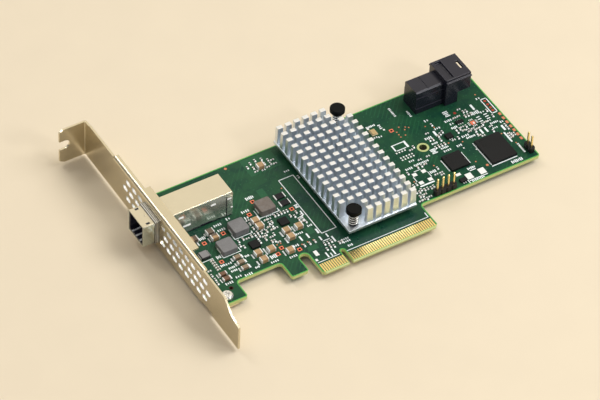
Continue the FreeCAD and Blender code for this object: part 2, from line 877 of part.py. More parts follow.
def internal_housing():
    """The moulded shroud with its lip, latch window, stepped mouth and two-slot nose."""
    body = new_body("internal_housing")
    center = S.shroud_center
    front = SHROUD_FRONT
    mouth = front - S.mouth_depth
    half = S.shroud_half
    lip = S.shroud_lip_half
    crown = S.shroud_crown_half
    beyond = 1

    section = sketch_on(body, "YZ_Plane", SHROUD_REAR)
    outline(section, [
        (center - half, dim(0)),
        (center + half, dim(0)),
        (center + half, S.shroud_lip_low),
        (center + lip, S.shroud_lip_low),
        (center + lip, S.shroud_crown_low),
        (center + crown, S.shroud_crown_low),
        (center + crown, S.shroud_top),
        (center - crown, S.shroud_top),
        (center - crown, S.shroud_crown_low),
        (center - lip, S.shroud_crown_low),
        (center - lip, S.shroud_lip_low),
        (center - half, S.shroud_lip_low),
    ])
    pad(body, section, S.shroud_length)

    room_y = (center - half + S.shroud_wall, center + half - S.shroud_wall)
    room_z = (dim(-beyond), S.shroud_top - S.shroud_roof)
    entry = sketch_on(body, "YZ_Plane", front)
    rectangle(entry, room_y, room_z)
    pocket(body, entry, S.mouth_depth)
    moat = sketch_on(body, "YZ_Plane", mouth)
    rectangle(moat, room_y, room_z)
    rectangle(moat, span(center, 2 * S.shroud_nose_half), (S.shroud_nose_low, S.shroud_nose_high))
    pocket(body, moat, S.mouth_back)
    for deck in (S.deck_low, S.deck_high):
        slot = sketch_on(body, "YZ_Plane", mouth)
        rectangle(slot, span(center, S.slot_width), span(deck, S.slot_height))
        pocket(body, slot, S.slot_depth)
    sill = sketch_on(body, "XZ_Plane", -center)
    rectangle(sill, (mouth, front + beyond), (dim(-beyond), S.mouth_sill))
    pocket(body, sill)

    latch = sketch_on(body, "XY_Plane", S.shroud_top)
    latch_x = (front - S.latch_back - S.latch_wide, front - S.latch_back)
    rectangle(latch, latch_x, span(center, S.latch_long))
    pocket(body, latch, S.shroud_roof)
    groove = sketch_on(body, "XY_Plane", S.shroud_top)
    rectangle(groove, (front - S.groove_back - S.groove_wide, front - S.groove_back), span(center, S.groove_long))
    pocket(body, groove, S.groove_deep)
    node(body, "internal_housing")
    blades("internal_contacts", center, mouth, -1)


def internal_rear_cover():
    """The stepped cover over the contact tails, behind the shroud."""
    body = new_body("internal_rear_cover")
    center = S.shroud_center
    rear = SHROUD_REAR - S.cover_length
    half = S.cover_half
    upper = half - S.cover_ledge
    top = upper - S.cover_ledge
    right = [
        (half, dim(0)),
        (half, S.cover_ledge_low),
        (upper, S.cover_ledge_low + S.cover_ledge),
        (upper, S.cover_ledge_high),
        (top, S.cover_ledge_high + S.cover_ledge),
        (top, S.cover_top - S.cover_chamfer),
        (top - S.cover_chamfer, S.cover_top),
    ]
    section = sketch_on(body, "YZ_Plane", rear)
    outline(section, [(center + y, z) for y, z in right] + [(center - y, z) for y, z in reversed(right)])
    pad(body, section, S.cover_length)
    line = sketch_on(body, "XY_Plane", S.cover_top)
    rectangle(line, span(SHROUD_REAR - S.cover_line_back, S.cover_line), span(center, 2 * (top - S.cover_chamfer)))
    pocket(body, line, S.cover_line)
    node(body, "internal_rear_cover")


def heatsink():
    """An extruded comb, cross-cut into pins, with two corners cleared for its push pins."""
    body = new_body("heatsink")
    field_x = (SINK_COLUMN_COUNT - 1) * S.pin_pitch_x + S.pin_size_x
    field_y = (SINK_ROW_COUNT - 1) * S.pin_pitch_y + S.pin_size_y
    x = span(S.sink_x, field_x + 2 * S.sink_rim_x)
    y = span(S.sink_y, field_y + 2 * S.sink_rim_y)
    floor = S.sink_low + S.sink_base
    pin_x = x[0] + S.sink_rim_x
    pin_y = y[0] + S.sink_rim_y
    beyond = 1

    plan = sketch_on(body, "XY_Plane", S.sink_low)
    rectangle(plan, x, y)
    for place_x, place_y in PUSH_PLACES:
        hole(plan, place_x, place_y, S.push_shaft_radius + S.push_hole_play)
    pad(body, plan, S.sink_top - S.sink_low)

    rim = sketch_on(body, "XY_Plane", S.sink_top)
    rectangle(rim, (x[0] - beyond, x[1] + beyond), (y[0] - beyond, y[1] + beyond))
    rectangle(rim, (pin_x, pin_x + field_x), (pin_y, pin_y + field_y))
    pocket(body, rim, S.sink_top - floor)

    channel = sketch_on(body, "XZ_Plane", -S.sink_y)
    rectangle(channel, (pin_x + S.pin_size_x, pin_x + S.pin_pitch_x), (floor, S.sink_top + beyond))
    repeat(body, pocket(body, channel), "X_Axis", S.pin_pitch_x, SINK_COLUMN_COUNT - 1)
    cross = sketch_on(body, "YZ_Plane", S.sink_x)
    rectangle(cross, (pin_y + S.pin_size_y, pin_y + S.pin_pitch_y), (floor, S.sink_top + beyond))
    repeat(body, pocket(body, cross), "Y_Axis", S.pin_pitch_y, SINK_ROW_COUNT - 1)

    clear_x = CLEARED_PIN_COUNT * S.pin_pitch_x - (S.pin_pitch_x - S.pin_size_x) / 2
    clear_y = CLEARED_PIN_COUNT * S.pin_pitch_y - (S.pin_pitch_y - S.pin_size_y) / 2
    for corner_x, corner_y in (
        ((x[0] - beyond, pin_x + clear_x), (y[0] - beyond, pin_y + clear_y)),
        ((pin_x + field_x - clear_x, x[1] + beyond), (pin_y + field_y - clear_y, y[1] + beyond)),
    ):
        corner = sketch_on(body, "XY_Plane", S.sink_top)
        rectangle(corner, corner_x, corner_y)
        pocket(body, corner, S.sink_top - floor)
    node(body, "heatsink")


def push_pin(x, y):
    """A headed plastic pin that snaps through the heatsink and the card with a split barb."""
    body = new_body("push_pin")
    shaft = S.push_shaft_radius
    head = S.push_head_radius
    catch = -S.board_thick - S.barb_play
    tip = catch - S.barb_length
    profile = sketch_on(body, "XZ_Plane")
    outline(profile, [
        (dim(0), tip),
        (S.barb_tip_radius, tip),
        (S.barb_radius, catch - S.barb_neck),
        (S.barb_radius, catch),
        (shaft, catch),
        (shaft, S.push_head_low),
        (head, S.push_head_low),
        (head, S.push_head_top - S.push_edge),
        (head - S.push_edge, S.push_head_top),
        (dim(0), S.push_head_top),
    ])
    turn(body, profile)
    split = sketch_on(body, "XZ_Plane")
    beyond = 1
    rectangle(split, span(dim(0), S.barb_split), (tip - beyond, dim(0)))
    pocket(body, split)
    place(body, x, y, 0)
    return body


def push_spring(x, y):
    """A square-wire coil between the heatsink base and the pin's head."""
    wire = S.spring_wire_radius
    radius = S.push_shaft_radius + S.spring_play + wire
    low = S.sink_low + S.sink_base + wire
    height = S.push_head_low - wire - low
    steps = SPRING_TURN_COUNT * SPRING_STEP_COUNT
    upright = FreeCAD.Rotation(FreeCAD.Vector(1, 0, 0), 90)
    sections = []
    for step in range(steps + 1):
        turned = 360 * step / SPRING_STEP_COUNT
        angle = math.radians(turned)
        section = DOC.addObject("Part::RegularPolygon", "spring_section")
        section.Polygon = 4
        bind(section, "Circumradius", wire)
        around = FreeCAD.Rotation(FreeCAD.Vector(0, 0, 1), turned)
        section.Placement = FreeCAD.Placement(FreeCAD.Vector(), around * upright)
        place(section, radius * round(math.cos(angle), 6), radius * round(math.sin(angle), 6),
              height * (step / steps))
        sections.append(section)
    spring = DOC.addObject("Part::Loft", "push_spring")
    spring.Sections = sections
    spring.Solid = True
    spring.Ruled = True
    place(spring, x, y, low)
    return spring


def controller():
    """The controller's package, lid and thermal pad, under the heatsink."""
    package_top = S.package_thick
    lid_top = package_top + S.lid_thick
    for label, size, z in (
        ("controller_package", S.package_size, (0, package_top)),
        ("controller_lid", S.lid_size, (package_top, lid_top)),
        ("thermal_pad", S.lid_size, (lid_top, S.sink_low)),
    ):
        node(block(label, span(S.sink_x, size), span(S.sink_y, size), z), label)


def memory_chip(label, x, y, long, wide, thick):
    """A flat package with a dimple at its first corner."""
    body = new_body(label)
    plan = sketch_on(body, "XY_Plane")
    rectangle(plan, span(dim(0), long), span(dim(0), wide))
    pad(body, plan, thick)
    mark = sketch_on(body, "XY_Plane", thick)
    hole(mark, S.dimple_inset - long / 2, wide / 2 - S.dimple_inset, S.dimple_radius)
    pocket(body, mark, S.dimple_deep)
    place(body, x, y, 0)
    node(body, label)


def coil_body(x, y, size, thick):
    """A pressed inductor body with cut corners and a bevelled top."""
    body = new_body("power_inductor")
    plan = sketch_on(body, "XY_Plane")
    low, high = span(dim(0), size)
    inner_low = low + S.coil_corner
    inner_high = high - S.coil_corner
    outline(plan, [
        (inner_low, low), (inner_high, low), (high, inner_low), (high, inner_high),
        (inner_high, high), (inner_low, high), (low, inner_high), (low, inner_low),
    ])
    bevel_top(body, pad(body, plan, thick), S.coil_chamfer)
    place(body, x, y, 0)
    return body


def power_inductors():
    places = [(x, y, S.coil_size, dim(thick)) for x, y, thick in COIL_PLACES]
    places.append((*COIL_SMALL_PLACE, S.coil_small_size, S.coil_small_thick))
    group("power_inductors", [coil_body(*item) for item in places])
    terminals = []
    for x, y, size, thick in places:
        wide = span(y, S.coil_terminal_wide)
        low, high = span(x, size)
        terminals.append(block("coil_terminal", (low - S.coil_terminal_thick, low), wide, (0, S.coil_terminal_high)))
        terminals.append(block("coil_terminal", (high, high + S.coil_terminal_thick), wide, (0, S.coil_terminal_high)))
    group("inductor_terminals", terminals)


def chip_parts(label, terminal_label, places, long, wide, z, end):
    """Two-ended chip parts: a body between metal ends, along X."""
    bodies = []
    ends = []
    for x, y in places:
        low, high = span(x, long)
        across = span(y, wide)
        bodies.append(block("chip_body", (low + end, high - end), across, z))
        ends.append(block("chip_end", (low, low + end), across, z))
        ends.append(block("chip_end", (high - end, high), across, z))
    group(label, bodies)
    group(terminal_label, ends)


def solder_side_parts():
    """Bypass parts under the controller and coupling parts over the edge contacts."""
    under = -S.board_thick
    places = []
    for column in range(BYPASS_COLUMN_COUNT):
        for row in range(BYPASS_ROW_COUNT):
            x = S.sink_x + (column - (BYPASS_COLUMN_COUNT - 1) / 2) * S.bypass_pitch
            y = S.sink_y + (row - (BYPASS_ROW_COUNT - 1) / 2) * S.bypass_pitch
            places.append((x, y))
    for index in range(COUPLING_COUNT):
        places.append((S.contact_first + (index + 1) * S.coupling_pitch, S.coupling_low))
    chip_parts("solder_side_capacitors", "solder_side_terminals", places, S.bypass_long, S.bypass_wide,
               (under - S.bypass_thick, under), S.bypass_end)


def crystal():
    x = span(S.crystal_x, S.crystal_long)
    y = span(S.crystal_y, S.crystal_wide)
    rim = S.crystal_rim
    base_top = S.crystal_base
    node(block("crystal_base", x, y, (0, base_top)), "crystal_base")
    lid = block("crystal_lid", (x[0] + rim, x[1] - rim), (y[0] + rim, y[1] - rim),
                (base_top, base_top + S.crystal_lid))
    node(lid, "crystal_lid")


def transistors():
    packages = []
    leads = []
    for x, y, long, wide, thick, count in TRANSISTORS:
        across = span(dim(y), dim(wide))
        packages.append(block("transistor", span(dim(x), dim(long)), across, (0, dim(thick))))
        for index in range(count):
            lead_x = span(x + (index - (count - 1) / 2) * S.lead_pitch, S.lead_wide)
            leads.append(block("lead", lead_x, (across[0] - S.lead_long, across[0]), (0, S.lead_thick)))
            leads.append(block("lead", lead_x, (across[1], across[1] + S.lead_long), (0, S.lead_thick)))
    group("transistor_packages", packages)
    group("transistor_leads", leads)


def header_post(x, y):
    """A square post with a bevelled tip and a soldered tail."""
    body = new_body("post")
    low = -S.board_thick - S.post_tail
    plan = sketch_on(body, "XY_Plane", low)
    rectangle(plan, span(dim(0), S.post), span(dim(0), S.post))
    bevel_top(body, pad(body, plan, S.post_top - low), S.post_bevel)
    place(body, x, y, 0)
    return body


def header(label, posts, along):
    """A notched plastic strip and the square posts that pass through it and the card."""
    half = S.header_width / 2
    pitch_half = S.header_pitch / 2
    corner = S.header_corner
    body = new_body(f"{label}_strip")
    plan = sketch_on(body, "XY_Plane")
    near = []
    for x, y in posts:
        center = x if along == "x" else y
        near += [(center - pitch_half, corner - half), (center - pitch_half + corner, -half),
                 (center + pitch_half - corner, -half), (center + pitch_half, corner - half)]
    kept = [point for index, point in enumerate(near) if index == 0 or index % 4 or index == len(near)]
    side = posts[0][1] if along == "x" else posts[0][0]
    loop = [(run, side + across) for run, across in kept]
    loop += [(run, side - across) for run, across in reversed(kept)]
    if along == "y":
        loop = [(across, run) for run, across in reversed(loop)]
    outline(plan, loop)
    for x, y in posts:
        rectangle(plan, span(x, S.post), span(y, S.post))
    pad(body, plan, S.header_height)
    node(body, f"{label}_strip")
    group(f"{label}_posts", [header_post(x, y) for x, y in posts])


def build():
    circuit_board()
    edge_contacts("edge_contacts_component", dim(0))
    edge_contacts("edge_contacts_solder", -S.board_thick - S.contact_thick)
    bracket()
    group("bracket_screws", [bracket_screw(x, y) for x, y in SCREW_PLACES])
    external_port()
    internal_housing()
    internal_rear_cover()
    heatsink()
    group("push_pins", [push_pin(x, y) for x, y in PUSH_PLACES])
    group("push_pin_springs", [push_spring(x, y) for x, y in PUSH_PLACES])
    controller()
    memory_chip("small_memory_chip", S.small_memory_x, S.small_memory_y,
                S.small_memory_long, S.small_memory_wide, S.small_memory_thick)
    memory_chip("large_memory_chip", BOARD_REAR - S.large_memory_inset, S.large_memory_y,
                S.large_memory_long, S.large_memory_wide, S.large_memory_thick)
    power_inductors()
    group("regulator_chips", [
        block("regulator", span(x, S.regulator_size), span(y, S.regulator_size), (0, S.regulator_thick))
        for x, y in REGULATOR_PLACES
    ])
    chip_parts("sense_resistors", "sense_resistor_ends", SENSE_PLACES,
               S.sense_long, S.sense_wide, (0, S.sense_thick), S.chip_end)
    chip_parts("pale_capacitors", "pale_capacitor_ends", PALE_PLACES,
               S.pale_long, S.pale_wide, (0, S.pale_thick), S.chip_end)
    chip_parts("dark_capacitors", "dark_capacitor_ends", DARK_PLACES,
               S.dark_long, S.dark_wide, (0, S.dark_thick), S.chip_end)
    solder_side_parts()
    crystal()
    transistors()
    header("long_header", LONG_POSTS, "x")
    header("short_header", SHORT_POSTS, "y")
    DOC.recompute()


def check():
    """Stop before anything is written if a feature failed or a piece has no sound solid."""
    for thing in DOC.Objects:
        if "Invalid" in thing.State or "Error" in thing.State:
            raise RuntimeError(f"{thing.Name} failed: {thing.State}")
    for piece in NODES:
        if piece.Shape.isNull() or not piece.Shape.isValid() or not piece.Shape.Solids:
            raise RuntimeError(f"{piece.Label} has no sound solid")


def write():
    os.makedirs("parts", exist_ok=True)
    for piece in NODES:
        piece.Shape.exportStep(f"parts/{piece.Label}.step")
        print(f"{piece.Label}: {len(piece.Shape.Solids)} solids, {piece.Shape.Volume:.2f} cubic mm")


build()
check()
write()
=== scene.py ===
import math

import bpy
from bpy.props import FloatProperty, FloatVectorProperty, IntProperty, PointerProperty
from bpy.types import Operator, Panel, PropertyGroup
from mathutils import Matrix, Vector


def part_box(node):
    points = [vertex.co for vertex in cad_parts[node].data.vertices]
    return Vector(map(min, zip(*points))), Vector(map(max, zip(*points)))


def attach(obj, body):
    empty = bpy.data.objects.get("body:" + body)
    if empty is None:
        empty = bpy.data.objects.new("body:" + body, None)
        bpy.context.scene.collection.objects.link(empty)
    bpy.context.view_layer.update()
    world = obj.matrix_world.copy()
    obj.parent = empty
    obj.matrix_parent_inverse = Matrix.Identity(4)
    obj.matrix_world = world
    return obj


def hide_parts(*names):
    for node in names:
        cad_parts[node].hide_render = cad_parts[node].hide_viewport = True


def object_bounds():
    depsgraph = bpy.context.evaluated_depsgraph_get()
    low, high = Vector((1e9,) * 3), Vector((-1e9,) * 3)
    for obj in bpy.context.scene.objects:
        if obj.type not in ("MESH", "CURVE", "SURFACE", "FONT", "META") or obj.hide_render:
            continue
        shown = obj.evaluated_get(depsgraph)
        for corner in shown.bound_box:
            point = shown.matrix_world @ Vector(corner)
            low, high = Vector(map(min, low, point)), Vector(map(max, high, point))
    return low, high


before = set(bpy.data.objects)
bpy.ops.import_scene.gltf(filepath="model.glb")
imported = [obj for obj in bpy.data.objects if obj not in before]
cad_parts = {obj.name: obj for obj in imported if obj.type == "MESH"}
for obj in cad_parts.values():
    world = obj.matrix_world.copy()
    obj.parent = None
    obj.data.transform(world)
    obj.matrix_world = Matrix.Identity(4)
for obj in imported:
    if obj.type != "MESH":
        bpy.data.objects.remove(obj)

bl_info = {
    "name": "Host bus adapter",
    "version": (1, 0, 0),
    "blender": (4, 5, 0),
    "location": "View3D > Sidebar > Adapter",
    "description": "Finishes, printed marks, small parts and a studio stage for an expansion card",
    "category": "Object",
}

MM = 0.001
# Places closer than this count as one, and a normal with more than this along an axis faces that way.
NEAR, FACING = 0.02 * MM, 0.9
CAD_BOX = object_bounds()
BOARD_LOW, BOARD_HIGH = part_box("circuit_board")
TOP = BOARD_HIGH.z
UNDER = BOARD_LOW.z

# Each CAD node and the record's material slot that it takes its finish from.
NODE_SLOTS = {
    "circuit_board": "laminate",
    "edge_contacts_component": "gold",
    "edge_contacts_solder": "gold",
    "external_contacts": "gold",
    "internal_contacts": "gold",
    "long_header_posts": "gold",
    "short_header_posts": "gold",
    "bracket": "bracket_steel",
    "bracket_screws": "screw_steel",
    "external_cage": "cage_steel",
    "external_gasket": "spring_steel",
    "push_pin_springs": "spring_steel",
    "external_receptacle": "connector_plastic",
    "internal_housing": "connector_plastic",
    "internal_rear_cover": "connector_plastic",
    "heatsink": "heatsink_aluminium",
    "push_pins": "pin_plastic",
    "controller_package": "package_laminate",
    "controller_lid": "lid_metal",
    "crystal_lid": "lid_metal",
    "thermal_pad": "thermal_pad",
    "small_memory_chip": "chip_mould",
    "large_memory_chip": "chip_mould",
    "regulator_chips": "chip_mould",
    "transistor_packages": "chip_mould",
    "power_inductors": "inductor_powder",
    "inductor_terminals": "tin",
    "sense_resistor_ends": "tin",
    "pale_capacitor_ends": "tin",
    "dark_capacitor_ends": "tin",
    "solder_side_terminals": "tin",
    "transistor_leads": "tin",
    "sense_resistors": "resistor_coat",
    "pale_capacitors": "pale_ceramic",
    "crystal_base": "pale_ceramic",
    "dark_capacitors": "dark_ceramic",
    "solder_side_capacitors": "dark_ceramic",
    "long_header_strip": "header_plastic",
    "short_header_strip": "header_plastic",
}

# Printed bars: centre x and y, width and height, in millimetres on the component side.
PRINTED_BARS = [
    # Label frame beside the heatsink, and the line over the edge contacts.
    (-2.3, 35.0, 0.35, 32.6), (4.3, 35.0, 0.35, 32.6), (1.0, 51.3, 6.95, 0.35),
    (1.0, 18.7, 6.95, 0.35), (-6.8, 5.9, 10.0, 0.3), (20.0, 5.9, 37.4, 0.3), (38.5, 7.2, 0.4, 2.6),
    # Beside the capacitors of the supply.
    (-31.9, 21.0, 0.6, 2.4), (-31.9, 17.0, 0.6, 2.4), (-26.3, 21.0, 0.6, 3.6),
    (-20.4, 16.6, 0.6, 2.8), (-16.2, 22.0, 0.7, 3.0), (-16.2, 25.8, 0.7, 2.8),
    (-10.7, 26.0, 0.6, 2.8), (-39.8, 23.4, 0.6, 1.8), (-39.8, 20.5, 0.6, 1.6),
    (-39.8, 17.5, 0.6, 2.0), (-35.4, 23.4, 0.6, 1.8), (-35.4, 20.5, 0.6, 1.6),
    (-35.4, 17.5, 0.6, 2.0), (-49.0, 18.6, 0.5, 2.0), (-49.0, 15.8, 0.5, 2.0),
    (-44.7, 16.0, 0.5, 2.0), (-46.9, 37.2, 0.5, 2.2), (-42.2, 36.8, 0.5, 2.2),
    (-42.3, 39.9, 0.6, 1.4), (-38.1, 36.6, 0.5, 1.6),
    # Outlines of the power inductors.
    (-38.2, 25.9, 7.8, 0.35), (-42.1, 27.0, 0.35, 2.2), (-34.3, 27.0, 0.35, 2.2),
    (-29.4, 32.2, 7.8, 0.35), (-33.3, 33.6, 0.35, 2.8), (-25.5, 32.7, 0.35, 1.0),
    (-14.6, 37.2, 9.2, 0.35), (-19.2, 39.6, 0.35, 4.8), (-10.4, 38.0, 0.35, 1.6),
    (-48.1, 27.7, 4.6, 0.35),
    # Near the tongue.
    (-6.4, 7.8, 0.6, 2.8), (-4.8, 7.2, 0.5, 1.8), (-3.3, 8.1, 0.6, 3.2), (0.2, 13.9, 0.7, 3.2),
    (-10.8, 20.2, 0.7, 2.6), (-7.7, 20.2, 0.7, 2.6), (-4.1, 16.6, 0.6, 2.2), (-1.0, 16.8, 0.6, 2.0),
    (-2.6, 14.8, 3.2, 0.35), (-3.4, 31.8, 0.6, 2.6), (-3.2, 20.6, 0.8, 2.6),
    # Outline of the eight-lead footprint, and of the four-land footprint below it.
    (46.7, 44.3, 0.6, 3.4), (49.6, 45.8, 5.2, 0.4), (52.4, 44.2, 0.9, 3.8), (49.3, 42.5, 4.4, 0.4),
    (45.0, 25.6, 0.3, 2.8), (51.6, 25.4, 0.3, 3.0), (48.3, 29.4, 3.2, 0.3), (48.0, 21.2, 6.6, 0.7),
    # Beside the memory chips.
    (59.5, 26.2, 0.5, 6.8), (69.0, 26.2, 0.5, 6.8), (75.8, 24.6, 0.5, 13.8),
    (81.5, 16.9, 11.9, 0.5),
    # Footprint of the two wide lands by the header.
    (67.7, 14.5, 8.4, 0.4), (67.8, 19.1, 2.8, 0.4), (63.0, 14.3, 0.4, 2.0),
    # Rear corner.
    (65.7, 43.3, 0.9, 3.2), (86.8, 48.8, 0.9, 3.2), (82.6, 35.4, 0.8, 2.8), (84.8, 35.4, 0.8, 2.8),
    (91.4, 33.0, 0.9, 3.0), (90.1, 27.6, 0.7, 6.0), (91.4, 20.0, 0.8, 5.6), (85.7, 43.0, 1.6, 0.45),
    (85.7, 41.7, 1.6, 0.45), (85.7, 40.4, 1.6, 0.45), (89.2, 43.0, 1.6, 0.45),
    (89.2, 41.7, 1.6, 0.45), (89.2, 40.4, 1.6, 0.45), (93.15, 50.7, 2.9, 0.4),
    (93.15, 42.0, 2.9, 0.4), (91.9, 46.35, 0.4, 9.0), (94.4, 46.35, 0.4, 9.0),
]

# Rows of short printed strokes beside the parts: centre x and y, width and height in millimetres.
PRINTED_STROKES = [
    (-35.4, 42.2, 3.2, 1.2), (-35.3, 39.3, 3.2, 1.2), (-44.2, 38.9, 2.6, 1.6),
    (-22.3, 43.3, 3.2, 1.3), (-17.1, 48.8, 3.4, 1.6), (-30.2, 43.1, 1.6, 1.4),
    (-46.8, 13.5, 3.2, 1.2), (-42.0, 14.7, 2.4, 1.0), (-38.0, 13.8, 3.2, 1.2),
    (-33.2, 15.4, 1.8, 1.0), (-25.8, 14.7, 3.2, 1.0), (-18.2, 13.5, 3.2, 1.1),
    (-43.6, 27.2, 1.8, 1.6), (-41.9, 22.4, 2.4, 1.0), (-41.9, 20.0, 2.6, 1.0),
    (-41.9, 18.2, 2.6, 1.0), (-33.7, 22.5, 1.8, 1.0), (-24.9, 17.2, 2.6, 2.0),
    (-9.9, 22.9, 3.0, 0.9), (-14.4, 17.9, 2.2, 1.2), (-3.4, 36.0, 1.6, 1.8), (-4.2, 24.6, 2.0, 1.0),
    (-23.6, 40.0, 1.6, 1.4), (-44.4, 22.6, 1.8, 1.2), (3.2, 54.4, 2.2, 0.8), (4.0, 11.7, 3.0, 0.9),
    (4.0, 10.3, 3.0, 0.9), (4.1, 7.9, 2.0, 1.1), (-15.2, 36.9, 3.0, 0.9), (-4.8, 29.2, 1.2, 2.6),
    (45.2, 59.4, 4.0, 1.0), (45.6, 52.6, 1.6, 0.9), (48.4, 57.4, 1.2, 2.4), (62.5, 58.0, 0.9, 3.6),
    (57.0, 62.0, 0.9, 5.2), (66.4, 51.3, 1.6, 1.2), (49.2, 35.0, 2.2, 0.9), (61.9, 42.6, 3.0, 1.2),
    (62.6, 38.9, 2.6, 0.9), (59.9, 35.3, 2.4, 2.6), (64.9, 33.1, 3.2, 1.0), (64.8, 34.9, 3.4, 0.9),
    (70.5, 33.1, 2.2, 1.1), (75.5, 50.6, 2.2, 3.0), (74.1, 47.0, 3.0, 1.2), (68.0, 45.5, 2.4, 1.0),
    (74.4, 44.8, 1.6, 1.0), (74.2, 42.6, 2.6, 1.1), (86.3, 45.6, 2.8, 2.0), (88.8, 44.6, 1.6, 1.0),
    (75.5, 36.5, 3.2, 1.1), (77.2, 35.0, 4.0, 1.0), (89.8, 37.3, 3.6, 1.0), (92.6, 36.2, 1.4, 1.2),
    (88.5, 34.6, 2.2, 0.9), (46.0, 31.8, 3.0, 1.1), (52.0, 32.2, 6.6, 1.0), (53.5, 25.9, 2.6, 1.4),
    (67.8, 20.3, 3.4, 1.2), (67.0, 13.75, 5.6, 0.8), (86.0, 14.9, 5.0, 1.6), (91.4, 51.9, 1.6, 1.0),
]

# Small chip parts: centre x and y in millimetres, and 1 where the chip lies along Y.
CAPACITOR_CHIPS = [
    (-46.8, 26.6, 0), (-46.8, 25.3, 0), (-46.8, 24.0, 0), (-46.8, 22.7, 0), (-46.8, 21.4, 0),
    (-30.6, 30.8, 1), (-26.9, 30.6, 1), (-24.0, 31.2, 1), (-24.2, 29.2, 1), (-22.8, 28.0, 0),
    (-22.9, 26.4, 1), (-20.4, 29.9, 1), (-21.4, 24.2, 1), (-19.2, 22.6, 0), (-24.2, 33.8, 1),
    (-24.2, 36.4, 1), (-17.7, 35.2, 0), (-13.5, 35.6, 1), (-10.6, 35.6, 1), (-16.2, 33.2, 1),
    (-18.6, 31.4, 0), (-18.0, 29.6, 0), (-8.2, 32.6, 1), (-5.2, 33.2, 1), (-6.2, 29.4, 1),
    (-5.6, 27.6, 0), (-11.6, 16.2, 1), (-9.2, 16.2, 1), (-6.9, 16.2, 1), (-3.1, 11.0, 1),
    (1.0, 11.0, 1), (2.2, 11.0, 1), (-7.5, 61.9, 1), (-2.4, 62.0, 1), (77.0, 46.9, 0),
    (79.0, 47.0, 0), (63.0, 40.9, 1), (65.9, 41.4, 1), (63.0, 36.6, 1), (65.8, 36.6, 1),
    (82.0, 48.3, 1), (81.4, 45.8, 1), (84.2, 45.8, 1), (75.6, 40.7, 1), (76.6, 39.2, 0),
    (78.4, 37.6, 0), (82.0, 37.4, 0), (86.6, 39.0, 0), (80.6, 33.8, 0), (91.3, 29.0, 0),
    (91.3, 26.6, 0), (53.0, 30.8, 0), (49.4, 30.8, 1), (42.8, 18.8, 1), (45.2, 18.9, 1),
    (41.6, 16.6, 1), (44.1, 16.8, 0), (42.0, 14.4, 0),
]
RESISTOR_CHIPS = [
    (-50.4, 22.4, 0), (-50.8, 20.0, 1), (-50.6, 17.6, 1), (-50.8, 15.4, 1), (-32.7, 30.6, 1),
    (-28.8, 30.2, 0), (-25.4, 30.6, 1), (-22.6, 30.4, 1), (-21.2, 31.2, 0), (-33.3, 28.3, 1),
    (-32.2, 27.1, 1), (-25.4, 28.4, 1), (-25.5, 26.2, 1), (-21.5, 28.6, 1), (-20.3, 26.4, 0),
    (-18.8, 27.3, 1), (-20.2, 24.0, 1), (-24.0, 38.4, 0), (-16.2, 35.2, 0), (-12.0, 35.6, 1),
    (-9.2, 35.6, 1), (-7.9, 35.6, 1), (-17.4, 33.2, 1), (-17.0, 31.4, 1), (-16.2, 29.8, 0),
    (-6.8, 31.6, 1), (-4.2, 30.8, 1), (-4.6, 28.8, 1), (-4.4, 27.0, 1), (-4.3, 13.2, 1),
    (-2.8, 13.2, 1), (-1.3, 13.2, 1), (-4.9, 10.4, 1), (-1.7, 10.4, 1), (-9.4, 63.4, 1),
    (-7.4, 64.8, 1), (-4.9, 65.4, 1), (-2.3, 64.8, 1), (-0.2, 63.2, 1), (1.4, 62.4, 0),
    (1.4, 60.2, 0), (-7.4, 59.8, 0), (-4.4, 59.2, 0), (-2.0, 59.8, 0), (-0.2, 61.0, 1),
    (5.6, 49.4, 1), (43.6, 52.9, 0), (61.7, 41.2, 1), (67.2, 42.2, 1), (68.6, 42.8, 1),
    (61.6, 36.6, 1), (64.4, 36.6, 1), (65.6, 39.2, 1), (67.0, 48.2, 1), (62.8, 44.9, 0),
    (54.0, 41.2, 1), (52.3, 40.2, 0), (81.2, 50.3, 0), (83.4, 48.2, 1), (82.8, 45.8, 1),
    (74.0, 41.2, 1), (74.0, 39.6, 1), (77.0, 41.2, 0), (78.7, 40.9, 1), (78.3, 39.0, 0),
    (80.3, 38.4, 0), (80.6, 36.8, 1), (83.6, 37.6, 0), (85.0, 38.6, 1), (88.4, 39.0, 0),
    (90.8, 44.4, 1), (91.3, 40.6, 1), (80.2, 35.3, 1), (81.9, 32.9, 0), (86.8, 33.4, 1),
    (87.4, 36.0, 0), (91.3, 27.8, 0), (92.8, 28.4, 0), (92.8, 27.2, 0), (92.8, 33.9, 1),
    (92.8, 31.8, 1), (51.2, 30.7, 1), (52.4, 33.9, 0), (56.3, 34.0, 0), (44.2, 29.7, 1),
    (56.0, 26.6, 1), (53.8, 23.8, 0), (56.0, 23.8, 0), (56.0, 22.6, 0), (42.5, 22.8, 1),
    (44.0, 23.0, 1), (41.5, 19.2, 1), (44.0, 19.6, 1), (46.6, 19.0, 1), (48.0, 18.6, 1),
    (49.3, 18.9, 1), (42.8, 16.4, 1), (40.6, 14.4, 0), (43.6, 14.4, 1), (45.2, 14.8, 0),
    (70.2, 36.6, 0), (72.4, 36.8, 1),
]

# Tinned lands without a part: centre x and y, width and height in millimetres.
TINNED_LANDS = [
    (64.7, 16.8, 2.8, 3.2), (70.7, 16.8, 2.8, 3.2), (61.3, 19.6, 2.2, 1.4), (46.2, 27.9, 1.9, 1.7),
    (50.4, 27.9, 1.9, 1.7), (46.2, 22.9, 1.9, 1.7), (50.4, 22.9, 1.9, 1.7), (-9.7, 10.6, 1.6, 2.8),
    (-11.4, 7.4, 1.0, 1.2), (43.6, 58.6, 0.9, 0.8), (49.0, 55.2, 0.8, 0.8), (71.3, 31.0, 0.6, 0.6),
    (75.3, 27.9, 0.5, 0.5), (82.5, 41.0, 0.7, 1.0),
]
